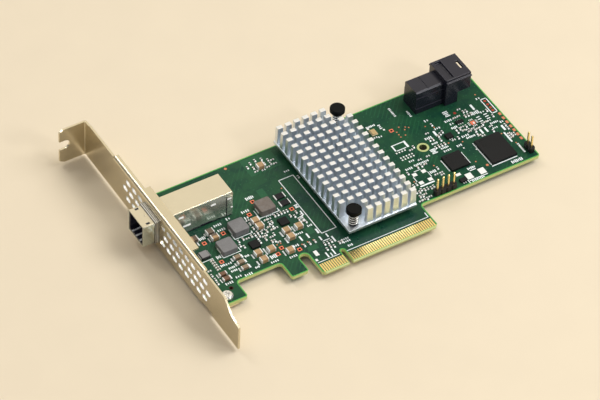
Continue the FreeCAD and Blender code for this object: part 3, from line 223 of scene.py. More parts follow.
# Rows of equal lands: x of the first, y and count, with their pitch and size.
LEAD_LAND_ROWS = [(46.3, 41.4, 4), (46.4, 38.4, 5), (46.4, 37.1, 5)]
LEAD_PITCH, LEAD_LAND = 1.3, (0.62, 0.72)
# A footprint with lands on four sides of a bare pad: centre, reach and steps of the lands, and sizes.
QUAD_CENTRE, QUAD_REACH, QUAD_STEPS = (82.2, 41.3), 1.75, (-0.7, 0.0, 0.7)
QUAD_LAND, QUAD_PAD = (0.8, 0.35), 2.0

# Bare copper: centre x and y in millimetres.
TEST_PADS = [
    (-44.7, 36.2), (-35.6, 37.3), (-21.7, 41.0), (-17.1, 46.4), (-43.8, 24.5), (-19.9, 19.6),
    (-22.7, 17.4), (-14.2, 15.5), (-5.7, 35.6), (51.3, 53.3),
]
BARE_VIAS = [
    (52.7, 51.5), (52.7, 49.9), (52.7, 48.4), (54.9, 53.5), (54.9, 48.5), (56.3, 51.2),
    (57.2, 52.4), (58.3, 51.5), (64.4, 48.7), (71.3, 22.3), (91.7, 54.3), (67.5, 36.3),
    (72.8, 34.2), (88.9, 30.5), (55.6, 28.5), (67.2, 46.6), (-3.4, 47.2), (-20.6, 21.8),
    (-19.0, 21.8), (-12.0, 17.3), (-9.4, 17.4), (-7.0, 17.2), (44.0, 24.7), (91.2, 23.4),
    (91.2, 21.9),
]
SIGHTING_MARKS = [(-17.2, 67.2), (74.3, 18.5)]
EDGE_PADS = [(94.45, y) for y in (40.3, 37.6, 35.0, 32.3, 29.8, 27.2, 24.6)]
PROBE_DOTS = [(93.15, 49.3), (93.15, 47.2), (93.15, 45.2), (93.15, 43.4), (78.8, 49.4)]

# Holes through the board, and the small inductor: centre x and y in millimetres.
PUSH_PIN_PLACES = [(9.1, 14.3), (32.5, 64.7)]
MOUNTING_HOLE = (57.3, 39.2)
TOOL_HOLE = (-47.5, 10.9)
SCREW_HOLES = [(-51.1, 7.8), (-51.1, 62.0)]
SMALL_INDUCTOR = (-48.15, 30.35)

# Copper pours that show as lighter green: centre x and y, width and height in millimetres.
LIGHT_POURS = [
    (-11.5, 48.7, 3.0, 4.6), (-3.5, 63.2, 14.0, 9.6), (-5.4, 22.2, 2.8, 3.6), (-9.3, 13.7, 4.4, 2.4),
]
# Capacitors given another tone, dark brown in the first list and khaki in the second: centre x and y,
# width and height of the patch of board they stand on.
BROWN_CAPACITORS = [(-41.5, 39.5, 13.0, 6.0)]
KHAKI_CAPACITORS = [(-37.9, 20.0, 4.4, 12.0)]

# Vents of the bracket's plate: from and to in y and in z, less the stretch of y that the port takes up.
VENT_Y, VENT_Z, PORT_Y = (6.0, 84.0), (0.8, 13.2), (43.0, 57.4)
# Bent tabs on the walls of the cage: x, height above the board and length.
CAGE_TABS = [
    (-50.4, 9.65, 2.2), (-36.1, 9.65, 2.2), (-28.9, 9.65, 1.8), (-47.75, 4.15, 3.3), (-27.75, 4.5, 0.8),
]
# The flaps that fold from the cage's rear wall onto its side walls: from and to in x and in z.
FLAP_X, FLAP_Z = (-29.85, -27.35), (0.75, 10.5)
# Pressed dimples on the nose of the cage: x and height on both walls, and x and y on its top.
WALL_DIMPLES = [(-64.3, 9.0), (-64.3, 4.0)]
TOP_DIMPLES = [(-63.3, 50.3)]
# The liner in the mouth of the external port: low and high corner of its box.
MOUTH_LOW, MOUTH_HIGH = (-67.0, 44.98, 2.18), (-61.55, 55.62, 12.02)
# Spring fingers on the liner's floor: x, the y of each, size of the flat part, and the bends after it.
FINGER_X, FINGER_Y, FINGER_SIZE = -65.9, (47.4, 50.3, 53.2), (2.2, 0.8, 0.2)
FINGER_BENDS = [(1.4, 0.0, 0.35), (1.0, 0.0, -0.3)]
# A thin black strip along the foot of the cage's walls, painted shade for the gap under them, where the
# black receptacle shows in shadow: middle and length in x, thickness, and the stretch that stands
# higher.
GAP_SHADE_MIDDLE, GAP_SHADE_LONG, GAP_SHADE_THICK = -42.6, 29.6, 0.06
GAP_SHADE_STEP, GAP_SHADE_RISE = (-41.5, -36.5), 0.7

# Depths below the roof of the internal port between which the floor of its sunk panel lies.
PANEL_DEPTHS = (0.3 * MM, 0.9 * MM)
# Pins of the heatsink: pitch and width along x, and the height of their feet and of their tops, above
# which up-facing faces are painted brighter as a highlight.
PIN_PITCH, PIN_WIDE, PIN_FOOT, PIN_TOPS = 3.95 * MM, 2.4 * MM, 3.9 * MM, 11.4 * MM

# Lights: name, place and width in metres, and the setting that holds the power. All aim at one spot.
LAMPS = [
    ("key_light", (0.95, -0.30, 1.25), 0.9, "key_power"),
    ("fill_light", (-0.9, -0.5, 1.2), 1.2, "fill_power"),
    ("edge_light", (0.45, -0.85, 0.70), 0.18, "edge_power"),
    ("rim_light", (-0.25, 0.85, 1.1), 0.3, "rim_power"),
]
LAMP_AIM = Vector((0.01, 0.035, 0.0))


# --- Sizes and colours that a user would change ------------------------------------------------

def length(name, description, millimetres):
    """A length property with its default given in millimetres."""
    return FloatProperty(name=name, description=description, default=millimetres * MM, min=0.0,
                         precision=6, unit="LENGTH")


def colour(name, description, red, green, blue):
    """A colour property with its default in linear light."""
    return FloatVectorProperty(name=name, description=description, default=(red, green, blue, 1.0),
                               size=4, min=0.0, max=1.0, subtype="COLOR")


def number(name, description, value, least=0.0):
    """A plain number property."""
    return FloatProperty(name=name, description=description, default=value, min=least)


class AdapterSizes(PropertyGroup):
    """Sizes of the pieces that dress the card."""

    print_thick: length("Print thickness", "Height of the white print over the solder mask", 0.03)
    stroke_wide: length("Stroke width", "Width of one short printed stroke", 0.48)
    panel_sink: length("Panel sink", "Depth added to the panel in the internal roof", 0.45)
    margin_wide: length("Margin width", "Bare laminate left along the routed edges", 0.45)
    margin_thick: length("Margin thickness", "Height of the bare margin over the mask", 0.015)
    land_thick: length("Land thickness", "Height of solder on a land without a part", 0.06)
    chip_long: length("Chip length", "Length of a small chip part", 1.2)
    chip_wide: length("Chip width", "Width of a small chip part", 0.65)
    chip_tall: length("Chip height", "Height of a small chip part", 0.45)
    chip_end: length("Chip end", "Length of each tinned end of a chip part", 0.38)
    wire_radius: length("Spring wire radius", "Radius of the push pin spring wire", 0.28)
    spring_turns: IntProperty(name="Spring turns", description="Turns of each push pin spring",
                              default=5, min=1)
    sheet_round: length("Sheet edge", "Rounding along the edges of the folded sheet metal", 0.12)
    pin_draft: length("Pin draft", "How far a heatsink pin spreads to each side at its foot", 0.26)
    base_trim: length("Base trim", "How far the heatsink's base is drawn in to its outer pins", 0.22)
    fin_round: length("Fin edge", "Rounding along the edges of the heatsink", 0.08)
    plastic_round: length("Plastic edge", "Rounding along the edges of moulded housings", 0.16)
    package_round: length("Package edge", "Rounding along the edges of chips and capacitors", 0.09)
    powder_round: length("Powder edge", "Rounding along the edges of the pressed inductors", 0.045)
    fold_round: length("Cage fold", "Radius of the folds along the top of the cage", 0.45)
    # The vent lining is a painted highlight on the vents' walls.
    vent_highlight_thick: length("Vent rim", "Thickness of the bright rim of a punched vent", 0.05)
    # The strip at the foot of the cage's walls is painted shade for the gap under them.
    gap_shade_high: length("Skirt height", "Black skirt that shows below the walls of the cage", 0.45)
    tab_proud: length("Tab reach", "How far the lip of a bent tab stands off the wall", 0.42)
    tab_tall: length("Tab height", "Height of a bent tab on the wall of the cage", 0.55)
    flap_thick: length("Flap thickness", "How far a rear flap stands off the cage's side wall", 0.12)
    # The dark strip beside a rear flap is painted shadow of the flap's edge.
    seam_shade_wide: length("Slit width", "Width of the dark slit beside a rear flap", 0.38)
    dimple_proud: length("Dimple height", "How far a dimple stands off the nose of the cage", 0.14)
    dimple_radius: length("Dimple radius", "Radius of a dimple on the nose of the cage", 0.5)
    liner_wall: length("Liner wall", "Wall of the black liner in the external port", 0.7)
    ring_wide: length("Hole ring", "Width of the bare ring round the mounting hole", 0.85)


class AdapterColours(PropertyGroup):
    """Colours of the card's finishes, in linear light."""

    mask: colour("Solder mask", "Mask over bare laminate", 0.0075, 0.048, 0.030)
    pour: colour("Mask over copper", "Mask over a copper pour", 0.016, 0.079, 0.035)
    laminate: colour("Cut laminate", "Routed edge of the board", 0.60, 0.66, 0.27)
    margin: colour("Bare margin", "Board surface along the routed edge", 0.075, 0.40, 0.07)
    printed: colour("Print", "White printed marks", 0.92, 0.97, 0.98)
    copper: colour("Copper", "Bare test pads", 0.90, 0.23, 0.13)
    dull_copper: colour("Dull copper", "Vias and pads along the rear edge", 0.72, 0.26, 0.14)
    gold: colour("Gold", "Plated contacts and posts", 0.98, 0.77, 0.32)
    tin: colour("Tin", "Solder and tinned ends", 0.92, 0.93, 0.92)
    nickel: colour("Nickel", "Plated bracket and cage", 0.75, 0.67, 0.49)
    # The heatsink is one aluminium: its lighter top colour is painted highlight, its darker, bluer side
    # colour painted shade.
    aluminium_lit_tops: colour("Aluminium", "Sawn tops of the heatsink", 0.91, 0.92, 0.94)
    aluminium_shaded_sides: colour("Drawn aluminium", "Sides of the heatsink", 0.765, 0.815, 0.865)
    # The cage's upright walls are painted lighter and greener than its top: a painted reflection of the
    # green board beside them.
    cage_sides_reflection: colour("Cage sides", "Upright walls of the cage", 0.77, 0.81, 0.70)
    powder: colour("Inductor powder", "Other inductors", 0.215, 0.21, 0.212)
    brown_powder: colour("Brown powder", "Inductor by the heatsink", 0.175, 0.14, 0.115)
    pale_ceramic: colour("Pale ceramic", "Larger capacitors", 0.44, 0.28, 0.14)
    dark_ceramic: colour("Dark ceramic", "Darker capacitors", 0.17, 0.085, 0.045)
    chip_ceramic: colour("Chip ceramic", "Small capacitors", 0.26, 0.165, 0.10)
    connector: colour("Connector plastic", "Black housings of the ports", 0.016, 0.016, 0.027)
    mould: colour("Chip mould", "Black chip packages", 0.010, 0.0105, 0.011)


class AdapterStage(PropertyGroup):
    """Floor, light and camera."""

    floor: colour("Floor", "Pale floor under the card", 0.80, 0.69, 0.52)
    key_power: number("Key light", "Power of the soft light over the card, in watts", 15.0)
    fill_power: number("Fill light", "Power of the soft light in front, in watts", 2.2)
    edge_power: number("Edge light", "Power of the small light that picks out edges, in watts", 2.0)
    rim_power: number("Rim light", "Power of the small light behind the bracket, in watts", 2.0)
    sky: number("Surround", "Strength of the surrounding light", 1.0)
    lens: number("Lens", "Focal length of the camera in millimetres", 223.66, 1.0)


# --- Finishes ----------------------------------------------------------------------------------

class Finish:
    """One procedural material, with short ways to add nodes and to feed its shader."""

    def __init__(self, name):
        self.material = bpy.data.materials.new(name)
        self.material.use_nodes = True
        self.tree = self.material.node_tree
        self.shader = self.tree.nodes["Principled BSDF"]
        self.coords = self.tree.nodes.new("ShaderNodeTexCoord")

    def feed(self, socket, value):
        """Link a socket, or set it where the value is a constant."""
        if isinstance(value, bpy.types.NodeSocket):
            self.tree.links.new(value, socket)
        else:
            socket.default_value = value

    def add(self, kind, inputs=None, **settings):
        """Add a node with its settings and inputs."""
        node = self.tree.nodes.new(kind)
        for key, value in settings.items():
            setattr(node, key, value)
        for key, value in (inputs or {}).items():
            self.feed(node.inputs[key], value)
        return node

    def place(self, stretch=(1, 1, 1), turn=0.0):
        """Object coordinates, stretched and turned about Z."""
        inputs = {"Vector": self.coords.outputs["Object"], "Scale": stretch,
                  "Rotation": (0.0, 0.0, turn)}
        return self.add("ShaderNodeMapping", inputs).outputs["Vector"]

    def along(self, axis, kind="Object"):
        """One part of the object coordinates, or of the normal."""
        return self.add("ShaderNodeSeparateXYZ", {"Vector": self.coords.outputs[kind]}).outputs[axis]

    def facing(self, axis="Z"):
        """How far the surface faces along an axis, either way: from 0 to 1."""
        return self.math("ABSOLUTE", self.along(axis, "Normal"))

    def noise(self, size, detail=2.0, stretch=(1, 1, 1)):
        """Noise whose features are about the given size in metres."""
        inputs = {"Vector": self.place(stretch), "Scale": 1.0 / size, "Detail": detail}
        return self.add("ShaderNodeTexNoise", inputs).outputs["Fac"]

    def patch(self, x, y, wide, tall):
        """1 inside an upright rectangle over the board, given in millimetres, and 0 outside it."""
        inputs = {"Vector": self.coords.outputs["Object"],
                  "Location": (-2.0 * x / wide, -2.0 * y / tall, 0.0),
                  "Scale": (2.0 / (wide * MM), 2.0 / (tall * MM), 0.0)}
        mapping = self.add("ShaderNodeMapping", inputs)
        apart = self.add("ShaderNodeVectorMath", {0: mapping.outputs["Vector"]}, operation="ABSOLUTE")
        parts = self.add("ShaderNodeSeparateXYZ", {"Vector": apart.outputs["Vector"]})
        farther = self.math("MAXIMUM", parts.outputs["X"], parts.outputs["Y"])
        return self.math("LESS_THAN", farther, 1.0)

    def ramp(self, factor, *stops):
        """Colour ramp through (position, colour) stops."""
        node = self.add("ShaderNodeValToRGB", {"Fac": factor})
        points = node.color_ramp.elements
        while len(points) < len(stops):
            points.new(1.0)
        for point, (position, tone) in zip(points, stops):
            point.position = position
            point.color = tone if hasattr(tone, "__len__") else (tone, tone, tone, 1.0)
        return node.outputs["Color"]

    def tones(self, factor, base, dark, light, stops=(0.3, 0.7)):
        """A colour that runs from a darker to a lighter tone of itself."""
        return self.ramp(factor, (stops[0], shade(base, dark)), (stops[1], shade(base, light)))

    def mix(self, factor, first, second):
        """Mix two colours."""
        node = self.add("ShaderNodeMix", data_type="RGBA")
        for index, value in ((0, factor), (6, first), (7, second)):
            self.feed(node.inputs[index], value)
        return node.outputs[2]

    def math(self, kind, first, second=0.0):
        """One arithmetic step."""
        node = self.add("ShaderNodeMath", operation=kind)
        self.feed(node.inputs[0], first)
        self.feed(node.inputs[1], second)
        return node.outputs[0]

    def bump(self, height, depth, strength=0.5):
        """Relief of the given depth in metres."""
        node = self.add("ShaderNodeBump", {"Height": height, "Distance": depth, "Strength": strength})
        self.feed(self.shader.inputs["Normal"], node.outputs["Normal"])

    def set(self, **sockets):
        """Feed the shader's sockets, named with underscores for spaces."""
        for key, value in sockets.items():
            self.feed(self.shader.inputs[key.replace("_", " ")], value)
        return self.material


def shade(colour_value, factor):
    """A colour made darker or lighter."""
    return tuple(min(1.0, part * factor) for part in tuple(colour_value)[:3]) + (1.0,)


def metal(name, base, roughness, grain=(1, 1, 1), size=0.4 * MM, depth=0.01 * MM, wave=0.0,
          metallic=1.0, sides=None):
    """Plated or bare metal with fine grain drawn out along one way, and slow waves in thin sheet; where
    a sides colour is given, the upright faces take it as a painted reflection.
    """
    finish = Finish(name)
    streaks = finish.noise(size, 4.0, grain)
    clouds = finish.noise(9 * MM, 2.0)
    tone = finish.mix(0.5, finish.tones(streaks, base, 0.9, 1.06), finish.tones(clouds, base, 0.92, 1.0))
    rough = finish.ramp(streaks, (0.25, roughness * 0.8), (0.75, roughness * 1.25))
    # Painted reflection: upright faces take the sides colour and a higher metallic level.
    if sides is not None:
        upright = finish.math("LESS_THAN", finish.facing(), 0.6)
        tone = finish.mix(upright, tone, finish.tones(streaks, sides, 0.92, 1.06))
        metallic = finish.ramp(finish.facing(), (0.5, 0.5 + 0.5 * metallic), (0.7, metallic))
    height = streaks
    if wave:
        slow = finish.noise(7 * MM, 1.0, (1, 1, 0.6))
        height = finish.math("ADD", finish.math("MULTIPLY", slow, wave), streaks)
    finish.bump(height, depth, 0.4)
    return finish.set(Base_Color=tone, Metallic=metallic, Roughness=rough)


def ridged_steel(name, bright, dark):
    """Spring steel with worn grain, its faces that turn along x, down into the grooves between the
    ridges, painted dark as shade.
    """
    finish = Finish(name)
    worn = finish.noise(0.5 * MM, 3.0)
    # Painted shade: faces that turn along x, the flanks of the grooves, go dark.
    groove_shade = finish.ramp(finish.facing("X"), (0.12, 0.0), (0.40, 1.0))
    tone = finish.mix(groove_shade, finish.tones(worn, bright, 0.85, 1.0), dark)
    finish.bump(worn, 0.01 * MM, 0.4)
    rough = finish.ramp(worn, (0.3, 0.25), (0.7, 0.4))
    return finish.set(Base_Color=tone, Metallic=0.5, Roughness=rough)


def cut_aluminium(name, colours, highlight_from):
    """Extruded aluminium with drawn lines; its sides are painted darker and bluer as shade, and its
    up-facing tops above a height painted brighter as a highlight.
    """
    finish = Finish(name)
    lines = finish.noise(0.35 * MM, 4.0, (3, 0.4, 1))
    # Painted highlight on the up-facing tops above the given height; the sides keep the darker painted
    # shade.
    high = finish.math("GREATER_THAN", finish.along("Z"), highlight_from)
    top_highlight = finish.math("MULTIPLY", high, finish.ramp(finish.facing(), (0.4, 0.0), (0.9, 1.0)))
    sides = finish.tones(lines, colours.aluminium_shaded_sides, 0.92, 1.08)
    tops = finish.tones(lines, colours.aluminium_lit_tops, 0.95, 1.0)
    finish.bump(lines, 0.008 * MM, 0.4)
    return finish.set(Base_Color=finish.mix(top_highlight, sides, tops), Metallic=1.0,
                      Roughness=finish.ramp(lines, (0.25, 0.31), (0.75, 0.44)))


def moulded(name, base, roughness, size=0.12 * MM, depth=0.008 * MM, speckle=0.15, gloss=0.22):
    """Moulded plastic or chip compound with a fine matt grain."""
    finish = Finish(name)
    grain = finish.noise(size, 3.0)
    clouds = finish.noise(5 * MM, 2.0)
    tone = finish.mix(0.4, finish.tones(grain, base, 1.0 - speckle, 1.0 + speckle, (0.3, 0.75)),
                      finish.tones(clouds, base, 0.8, 1.25))
    rough = finish.ramp(clouds, (0.2, roughness * 0.88), (0.8, roughness * 1.1))
    finish.bump(grain, depth, 0.35)
    return finish.set(Base_Color=tone, Roughness=rough, Specular_IOR_Level=gloss)


def ceramic(name, base, other=None, places=()):
    """Fired ceramic with faint bands and a few dark specks, in another tone at some places."""
    finish = Finish(name)
    bands = finish.noise(0.5 * MM, 2.0, (0.5, 0.5, 3.0))
    specks = finish.noise(0.18 * MM, 1.0)
    tone = finish.tones(bands, base, 0.82, 1.15)
    for place in places:
        tone = finish.mix(finish.patch(*place), tone, finish.tones(bands, other, 0.82, 1.15))
    tone = finish.mix(finish.ramp(specks, (0.66, 0.0), (0.74, 0.6)), tone, shade(base, 0.55))
    finish.bump(specks, 0.006 * MM, 0.3)
    return finish.set(Base_Color=tone, Roughness=0.42)


def pressed_powder(name, colours):
    """Pressed powder with dark grains: grey, but brown by the heatsink and black by the bracket."""
    finish = Finish(name)
    near_heatsink = finish.math("GREATER_THAN", finish.along("X"), -22 * MM)
    near_bracket = finish.math("LESS_THAN", finish.along("X"), -45 * MM)
    grains = finish.noise(0.16 * MM, 3.0)
    rubbed = finish.noise(1.6 * MM, 3.0)
    tone = finish.mix(near_heatsink, tuple(colours.powder), tuple(colours.brown_powder))
    tone = finish.mix(finish.ramp(grains, (0.35, 0.5), (0.6, 0.0)), tone, shade(colours.powder, 0.3))
    tone = finish.mix(finish.ramp(rubbed, (0.4, 0.0), (0.75, 0.25)), tone, shade(colours.powder, 1.4))
    tone = finish.mix(near_bracket, tone, finish.ramp(grains, (0.3, 0.006), (0.7, 0.02)))
    finish.bump(grains, 0.02 * MM, 0.5)
    return finish.set(Base_Color=tone, Roughness=0.55)


def solder_mask(name, colours):
    """Green mask with copper pours, tracks and vias under it, and cut laminate on the routed walls."""
    finish = Finish(name)
    black, grey, white = ((level, level, level, 1.0) for level in (0.0, 0.35, 1.0))
    bricks = {"Vector": finish.place(), "Scale": 1.0, "Mortar Size": 0.2 * MM, "Brick Width": 17 * MM,
              "Row Height": 10.5 * MM, "Color1": black, "Color2": white, "Mortar": grey}
    pours = finish.add("ShaderNodeTexBrick", bricks, offset=0.37)
    islands = finish.noise(7 * MM, 2.0)
    copper = finish.mix(0.45, pours.outputs["Color"], finish.ramp(islands, (0.44, 0.0), (0.50, 1.0)))
    tone = finish.mix(copper, tuple(colours.mask), tuple(colours.pour))

    waves = {"Vector": finish.place(turn=math.radians(42.0)), "Scale": 190.0, "Distortion": 0.0}
    tracks = finish.add("ShaderNodeTexWave", waves, wave_type="BANDS", bands_direction="X")
    routed = finish.ramp(finish.noise(16 * MM, 1.0), (0.52, 0.0), (0.56, 1.0))
    crests = finish.ramp(tracks.outputs["Fac"], (0.80, 0.0), (0.90, 0.55))
    lines = finish.math("MULTIPLY", crests, routed)
    tone = finish.mix(lines, tone, shade(colours.pour, 1.35))

    grid = {"Vector": finish.place(), "Scale": 420.0, "Randomness": 0.85}
    cells = finish.add("ShaderNodeTexVoronoi", grid, voronoi_dimensions="2D")
    dots = finish.ramp(cells.outputs["Distance"], (0.075, 0.65), (0.10, 0.0))
    crowded = finish.ramp(finish.noise(5 * MM, 1.0), (0.47, 0.0), (0.53, 1.0))
    tone = finish.mix(finish.math("MULTIPLY", dots, crowded), tone, shade(colours.pour, 2.1))

    upper = finish.math("MULTIPLY", finish.math("GREATER_THAN", finish.along("Z"), UNDER / 2), 0.7)
    for place in LIGHT_POURS:
        inside = finish.math("MULTIPLY", finish.patch(*place), upper)
        tone = finish.mix(inside, tone, shade(colours.pour, 1.5))

    flat = finish.math("GREATER_THAN", finish.facing(), 0.97)
    fibres = finish.noise(0.35 * MM, 3.0, (1.0, 1.0, 6.0))
    walls = finish.tones(fibres, colours.laminate, 0.8, 1.12, (0.25, 0.75))
    # Painted shade: the routed wall inside the mounting hole is darkened.
    at_hole = finish.patch(*MOUNTING_HOLE, 4.4, 4.4)
    walls = finish.mix(at_hole, walls, shade(colours.laminate, 0.2))
    tone = finish.mix(flat, walls, tone)

    rough = finish.ramp(islands, (0.3, 0.26), (0.7, 0.36))
    from_bracket = finish.math("SUBTRACT", finish.along("X"), BOARD_LOW.x)
    gloss = finish.ramp(from_bracket, (0.020, 0.15), (0.050, 0.2), (0.088, 0.2), (0.106, 0.09))
    finish.bump(finish.math("ADD", copper, lines), 0.012 * MM, 0.35)
    return finish.set(Base_Color=tone, Roughness=rough, Specular_IOR_Level=gloss)


def ink(name, base):
    """Screen-printed ink: matt, a little thin in places."""
    finish = Finish(name)
    wear = finish.noise(0.5 * MM, 3.0)
    finish.bump(wear, 0.01 * MM, 0.3)
    return finish.set(Base_Color=finish.tones(wear, base, 0.86, 1.0, (0.3, 0.6)), Roughness=0.6)


def bare_board(name, base):
    """Laminate with thin mask or none over its glass cloth, along an edge and round a hole."""
    finish = Finish(name)
    cloth = finish.noise(0.6 * MM, 3.0)
    finish.bump(cloth, 0.008 * MM, 0.3)
    return finish.set(Base_Color=finish.tones(cloth, base, 0.85, 1.15), Roughness=0.35)


def finish_for(slot):
    """The finish of a material slot or of a special surface, made the first time it is asked for."""
    name = "finish_" + slot
    found = bpy.data.materials.get(name)
    if found:
        return found
    c = bpy.context.scene.adapter_colours
    sheet, copper = 0.5 * MM, 0.02 * MM
    makers = {
        "laminate": lambda: solder_mask(name, c),
        "ink": lambda: ink(name, c.printed),
        "margin": lambda: bare_board(name, c.margin),
        "hole_ring": lambda: bare_board(name, shade(c.laminate, 0.8)),
        "gold": lambda: metal(name, c.gold, 0.26, (1, 6, 1), 0.3 * MM),
        "bracket_steel": lambda: metal(name, c.nickel, 0.22, (4, 1, 4), sheet, 0.003 * MM, 3.0, 0.92),
        "cage_steel": lambda: metal(name, c.nickel, 0.2, (1, 4, 4), sheet, 0.004 * MM, 7.0, 0.6,
                                    c.cage_sides_reflection),
        "screw_steel": lambda: metal(name, (0.84, 0.83, 0.80), 0.24, metallic=0.8),
        "spring_steel": lambda: metal(name, (0.84, 0.83, 0.80), 0.2, metallic=0.9),
        "gasket_steel": lambda: ridged_steel(name, (0.88, 0.86, 0.80), (0.05, 0.045, 0.04, 1.0)),
        # Near-white painted highlight on vent walls and tab lips.
        "punched_edge": lambda: metal(name, (0.95, 0.95, 0.93), 0.4, metallic=0.25),
        "heatsink_aluminium": lambda: cut_aluminium(name, c, PIN_TOPS),
        "lid_metal": lambda: metal(name, (0.62, 0.61, 0.58), 0.33),
        "crystal_lid": lambda: metal(name, (0.55, 0.40, 0.20), 0.4, metallic=0.5),
        "tin": lambda: metal(name, c.tin, 0.4, depth=0.015 * MM, metallic=0.3),
        "bare_copper": lambda: metal(name, c.copper, 0.42, depth=copper, metallic=0.5),
        "dark_copper": lambda: metal(name, (0.42, 0.045, 0.025), 0.5, depth=copper, metallic=0.4),
        "dull_copper": lambda: metal(name, c.dull_copper, 0.5, depth=copper, metallic=0.6),
        "connector_plastic": lambda: moulded(name, c.connector, 0.24, depth=0.003 * MM, gloss=0.42),
        "pin_plastic": lambda: moulded(name, (0.006, 0.006, 0.006), 0.36, gloss=0.08),
        "header_plastic": lambda: moulded(name, (0.012, 0.012, 0.012), 0.45),
        "chip_mould": lambda: moulded(name, c.mould, 0.5, 0.1 * MM, 0.012 * MM, 0.3, 0.16),
        "resistor_coat": lambda: moulded(name, (0.012, 0.012, 0.015), 0.3),
        # Painted shade for the holes in the test pads.
        "dark_hole": lambda: moulded(name, (0.008, 0.003, 0.002), 0.7, gloss=0.05),
        # Painted shade and shadow for the tool hole's wall and rim.
        "stained_hole": lambda: moulded(name, (0.045, 0.010, 0.006), 0.6),
        "package_laminate": lambda: moulded(name, (0.03, 0.10, 0.05), 0.4),
        "thermal_pad": lambda: moulded(name, (0.34, 0.35, 0.38), 0.7, 0.3 * MM, 0.03 * MM),
        "inductor_powder": lambda: pressed_powder(name, c),
        "inductor_plate": lambda: moulded(name, shade(c.powder, 1.25), 0.5, 0.16 * MM, 0.015 * MM, 0.25),
        "pale_ceramic": lambda: ceramic(name, c.pale_ceramic, (0.15, 0.105, 0.07), BROWN_CAPACITORS),
        "dark_ceramic": lambda: ceramic(name, c.dark_ceramic, (0.26, 0.19, 0.12), KHAKI_CAPACITORS),
        "chip_ceramic": lambda: ceramic(name, c.chip_ceramic),
        "crystal_base": lambda: ceramic(name, (0.66, 0.55, 0.33)),
    }
    return makers[slot]()


# --- Modelling helpers -------------------------------------------------------------------------

def clear_selection():
    """Leave edit mode and deselect everything."""
    if bpy.context.mode != "OBJECT":
        bpy.ops.object.mode_set(mode="OBJECT")
    bpy.ops.object.select_all(action="DESELECT")


def pick(*pieces):
    """Select these objects alone, the last one active."""
    clear_selection()
    for piece in pieces:
        piece.select_set(True)
    bpy.context.view_layer.objects.active = pieces[-1]


def edit(piece, mode="FACE", everything=True):
    """Enter edit mode on a piece with all or none of it selected."""
    pick(piece)
    bpy.ops.object.mode_set(mode="EDIT")
    bpy.ops.mesh.select_mode(type=mode)
    bpy.ops.mesh.select_all(action="SELECT" if everything else "DESELECT")


def select_faces(piece, test):
    """Select the faces of a piece, in edit mode, whose centre and normal pass the test."""
    bpy.ops.mesh.select_all(action="DESELECT")
    bpy.ops.object.mode_set(mode="OBJECT")
    for face in piece.data.polygons:
        face.select = bool(test(face.center, face.normal))
    bpy.ops.object.mode_set(mode="EDIT")


def select_edges(piece, test):
    """Select the edges of a piece, in edit mode, whose two ends pass the test."""
    bpy.ops.mesh.select_mode(type="EDGE")
    bpy.ops.mesh.select_all(action="DESELECT")
    bpy.ops.object.mode_set(mode="OBJECT")
    points = piece.data.vertices
    for edge in piece.data.edges:
        edge.select = bool(test(*(points[index].co for index in edge.vertices)))
    bpy.ops.object.mode_set(mode="EDIT")


def pull(x=0.0, y=0.0, z=0.0):
    """Extrude the selected faces."""
    bpy.ops.mesh.extrude_region_move(TRANSFORM_OT_translate={"value": (x, y, z)})


def block(name, centre, size):
    """A cube primitive at its size and place."""
    clear_selection()
    bpy.ops.mesh.primitive_cube_add(size=1.0, location=centre)
    piece = bpy.context.object
    piece.name = name
    piece.scale = size
    bpy.ops.object.transform_apply(location=True, rotation=True, scale=True)
    return piece


def disc(name, centre, radius, height, sides=16, tip=0.0):
    """A cylinder primitive at its size and place, tipped about x."""
    clear_selection()
    bpy.ops.mesh.primitive_cylinder_add(vertices=sides, radius=radius, depth=height, location=centre,
                                        rotation=(tip, 0.0, 0.0))
    piece = bpy.context.object
    piece.name = name
    bpy.ops.object.transform_apply(location=True, rotation=True, scale=True)
    return piece


def open_through(piece, axis, wall):
    """Turn a solid primitive into a tube along an axis: inset both end faces and bridge them."""
    edit(piece, "FACE", False)
    select_faces(piece, lambda centre, normal: abs(normal[axis]) > FACING)
    bpy.ops.mesh.inset(thickness=wall, depth=0.0)
    bpy.ops.mesh.bridge_edge_loops()
    bpy.ops.mesh.select_all(action="SELECT")
    bpy.ops.mesh.normals_make_consistent(inside=False)
    clear_selection()
    return piece


def apply_bevel(piece, width, segments, degrees=40.0):
    """Round the edges that turn by more than an angle."""
    pick(piece)
    modifier = piece.modifiers.new("edges", "BEVEL")
    modifier.width = width
    modifier.segments = segments
    modifier.limit_method = "ANGLE"
    modifier.angle_limit = math.radians(degrees)
    modifier.harden_normals = False
    bpy.ops.object.modifier_apply(modifier=modifier.name)


def smooth(piece, degrees=35.0):
    """Shade smooth except over sharp edges, and keep the broad faces flat."""
    pick(piece)
    bpy.ops.object.shade_smooth_by_angle(angle=math.radians(degrees))
    modifier = piece.modifiers.new("flat_faces", "WEIGHTED_NORMAL")
    modifier.keep_sharp = True
    bpy.ops.object.modifier_apply(modifier=modifier.name)


def on_board(places):
    """Places for spread, from (x, y) pairs in millimetres."""
    return [(x * MM, y * MM, 0.0, 0.0) for x, y in places]


def spread(template, places):
    """Copy a finished template to each (x, y, z, turn) place, join the copies and drop the template."""
    copies = []
    for x, y, z, turn in places:
        copy = template.copy()
        copy.data = template.data.copy()
        copy.matrix_world = Matrix.Translation((x, y, z)) @ Matrix.Rotation(turn, 4, "Z")
        bpy.context.scene.collection.objects.link(copy)
        copies.append(copy)
    name = template.name
    bpy.data.objects.remove(template)
    pick(*copies)
    bpy.ops.object.join()
    bpy.ops.object.transform_apply(location=True, rotation=True, scale=True)
    piece = bpy.context.object
    piece.name = name
    return piece


def join(name, pieces):
    """Join pieces into one mesh with its place in it."""
    pick(*pieces)
    if len(pieces) > 1:
        bpy.ops.object.join()
    piece = bpy.context.object
    bpy.ops.object.transform_apply(location=True, rotation=True, scale=True)
    piece.name = name
    return piece


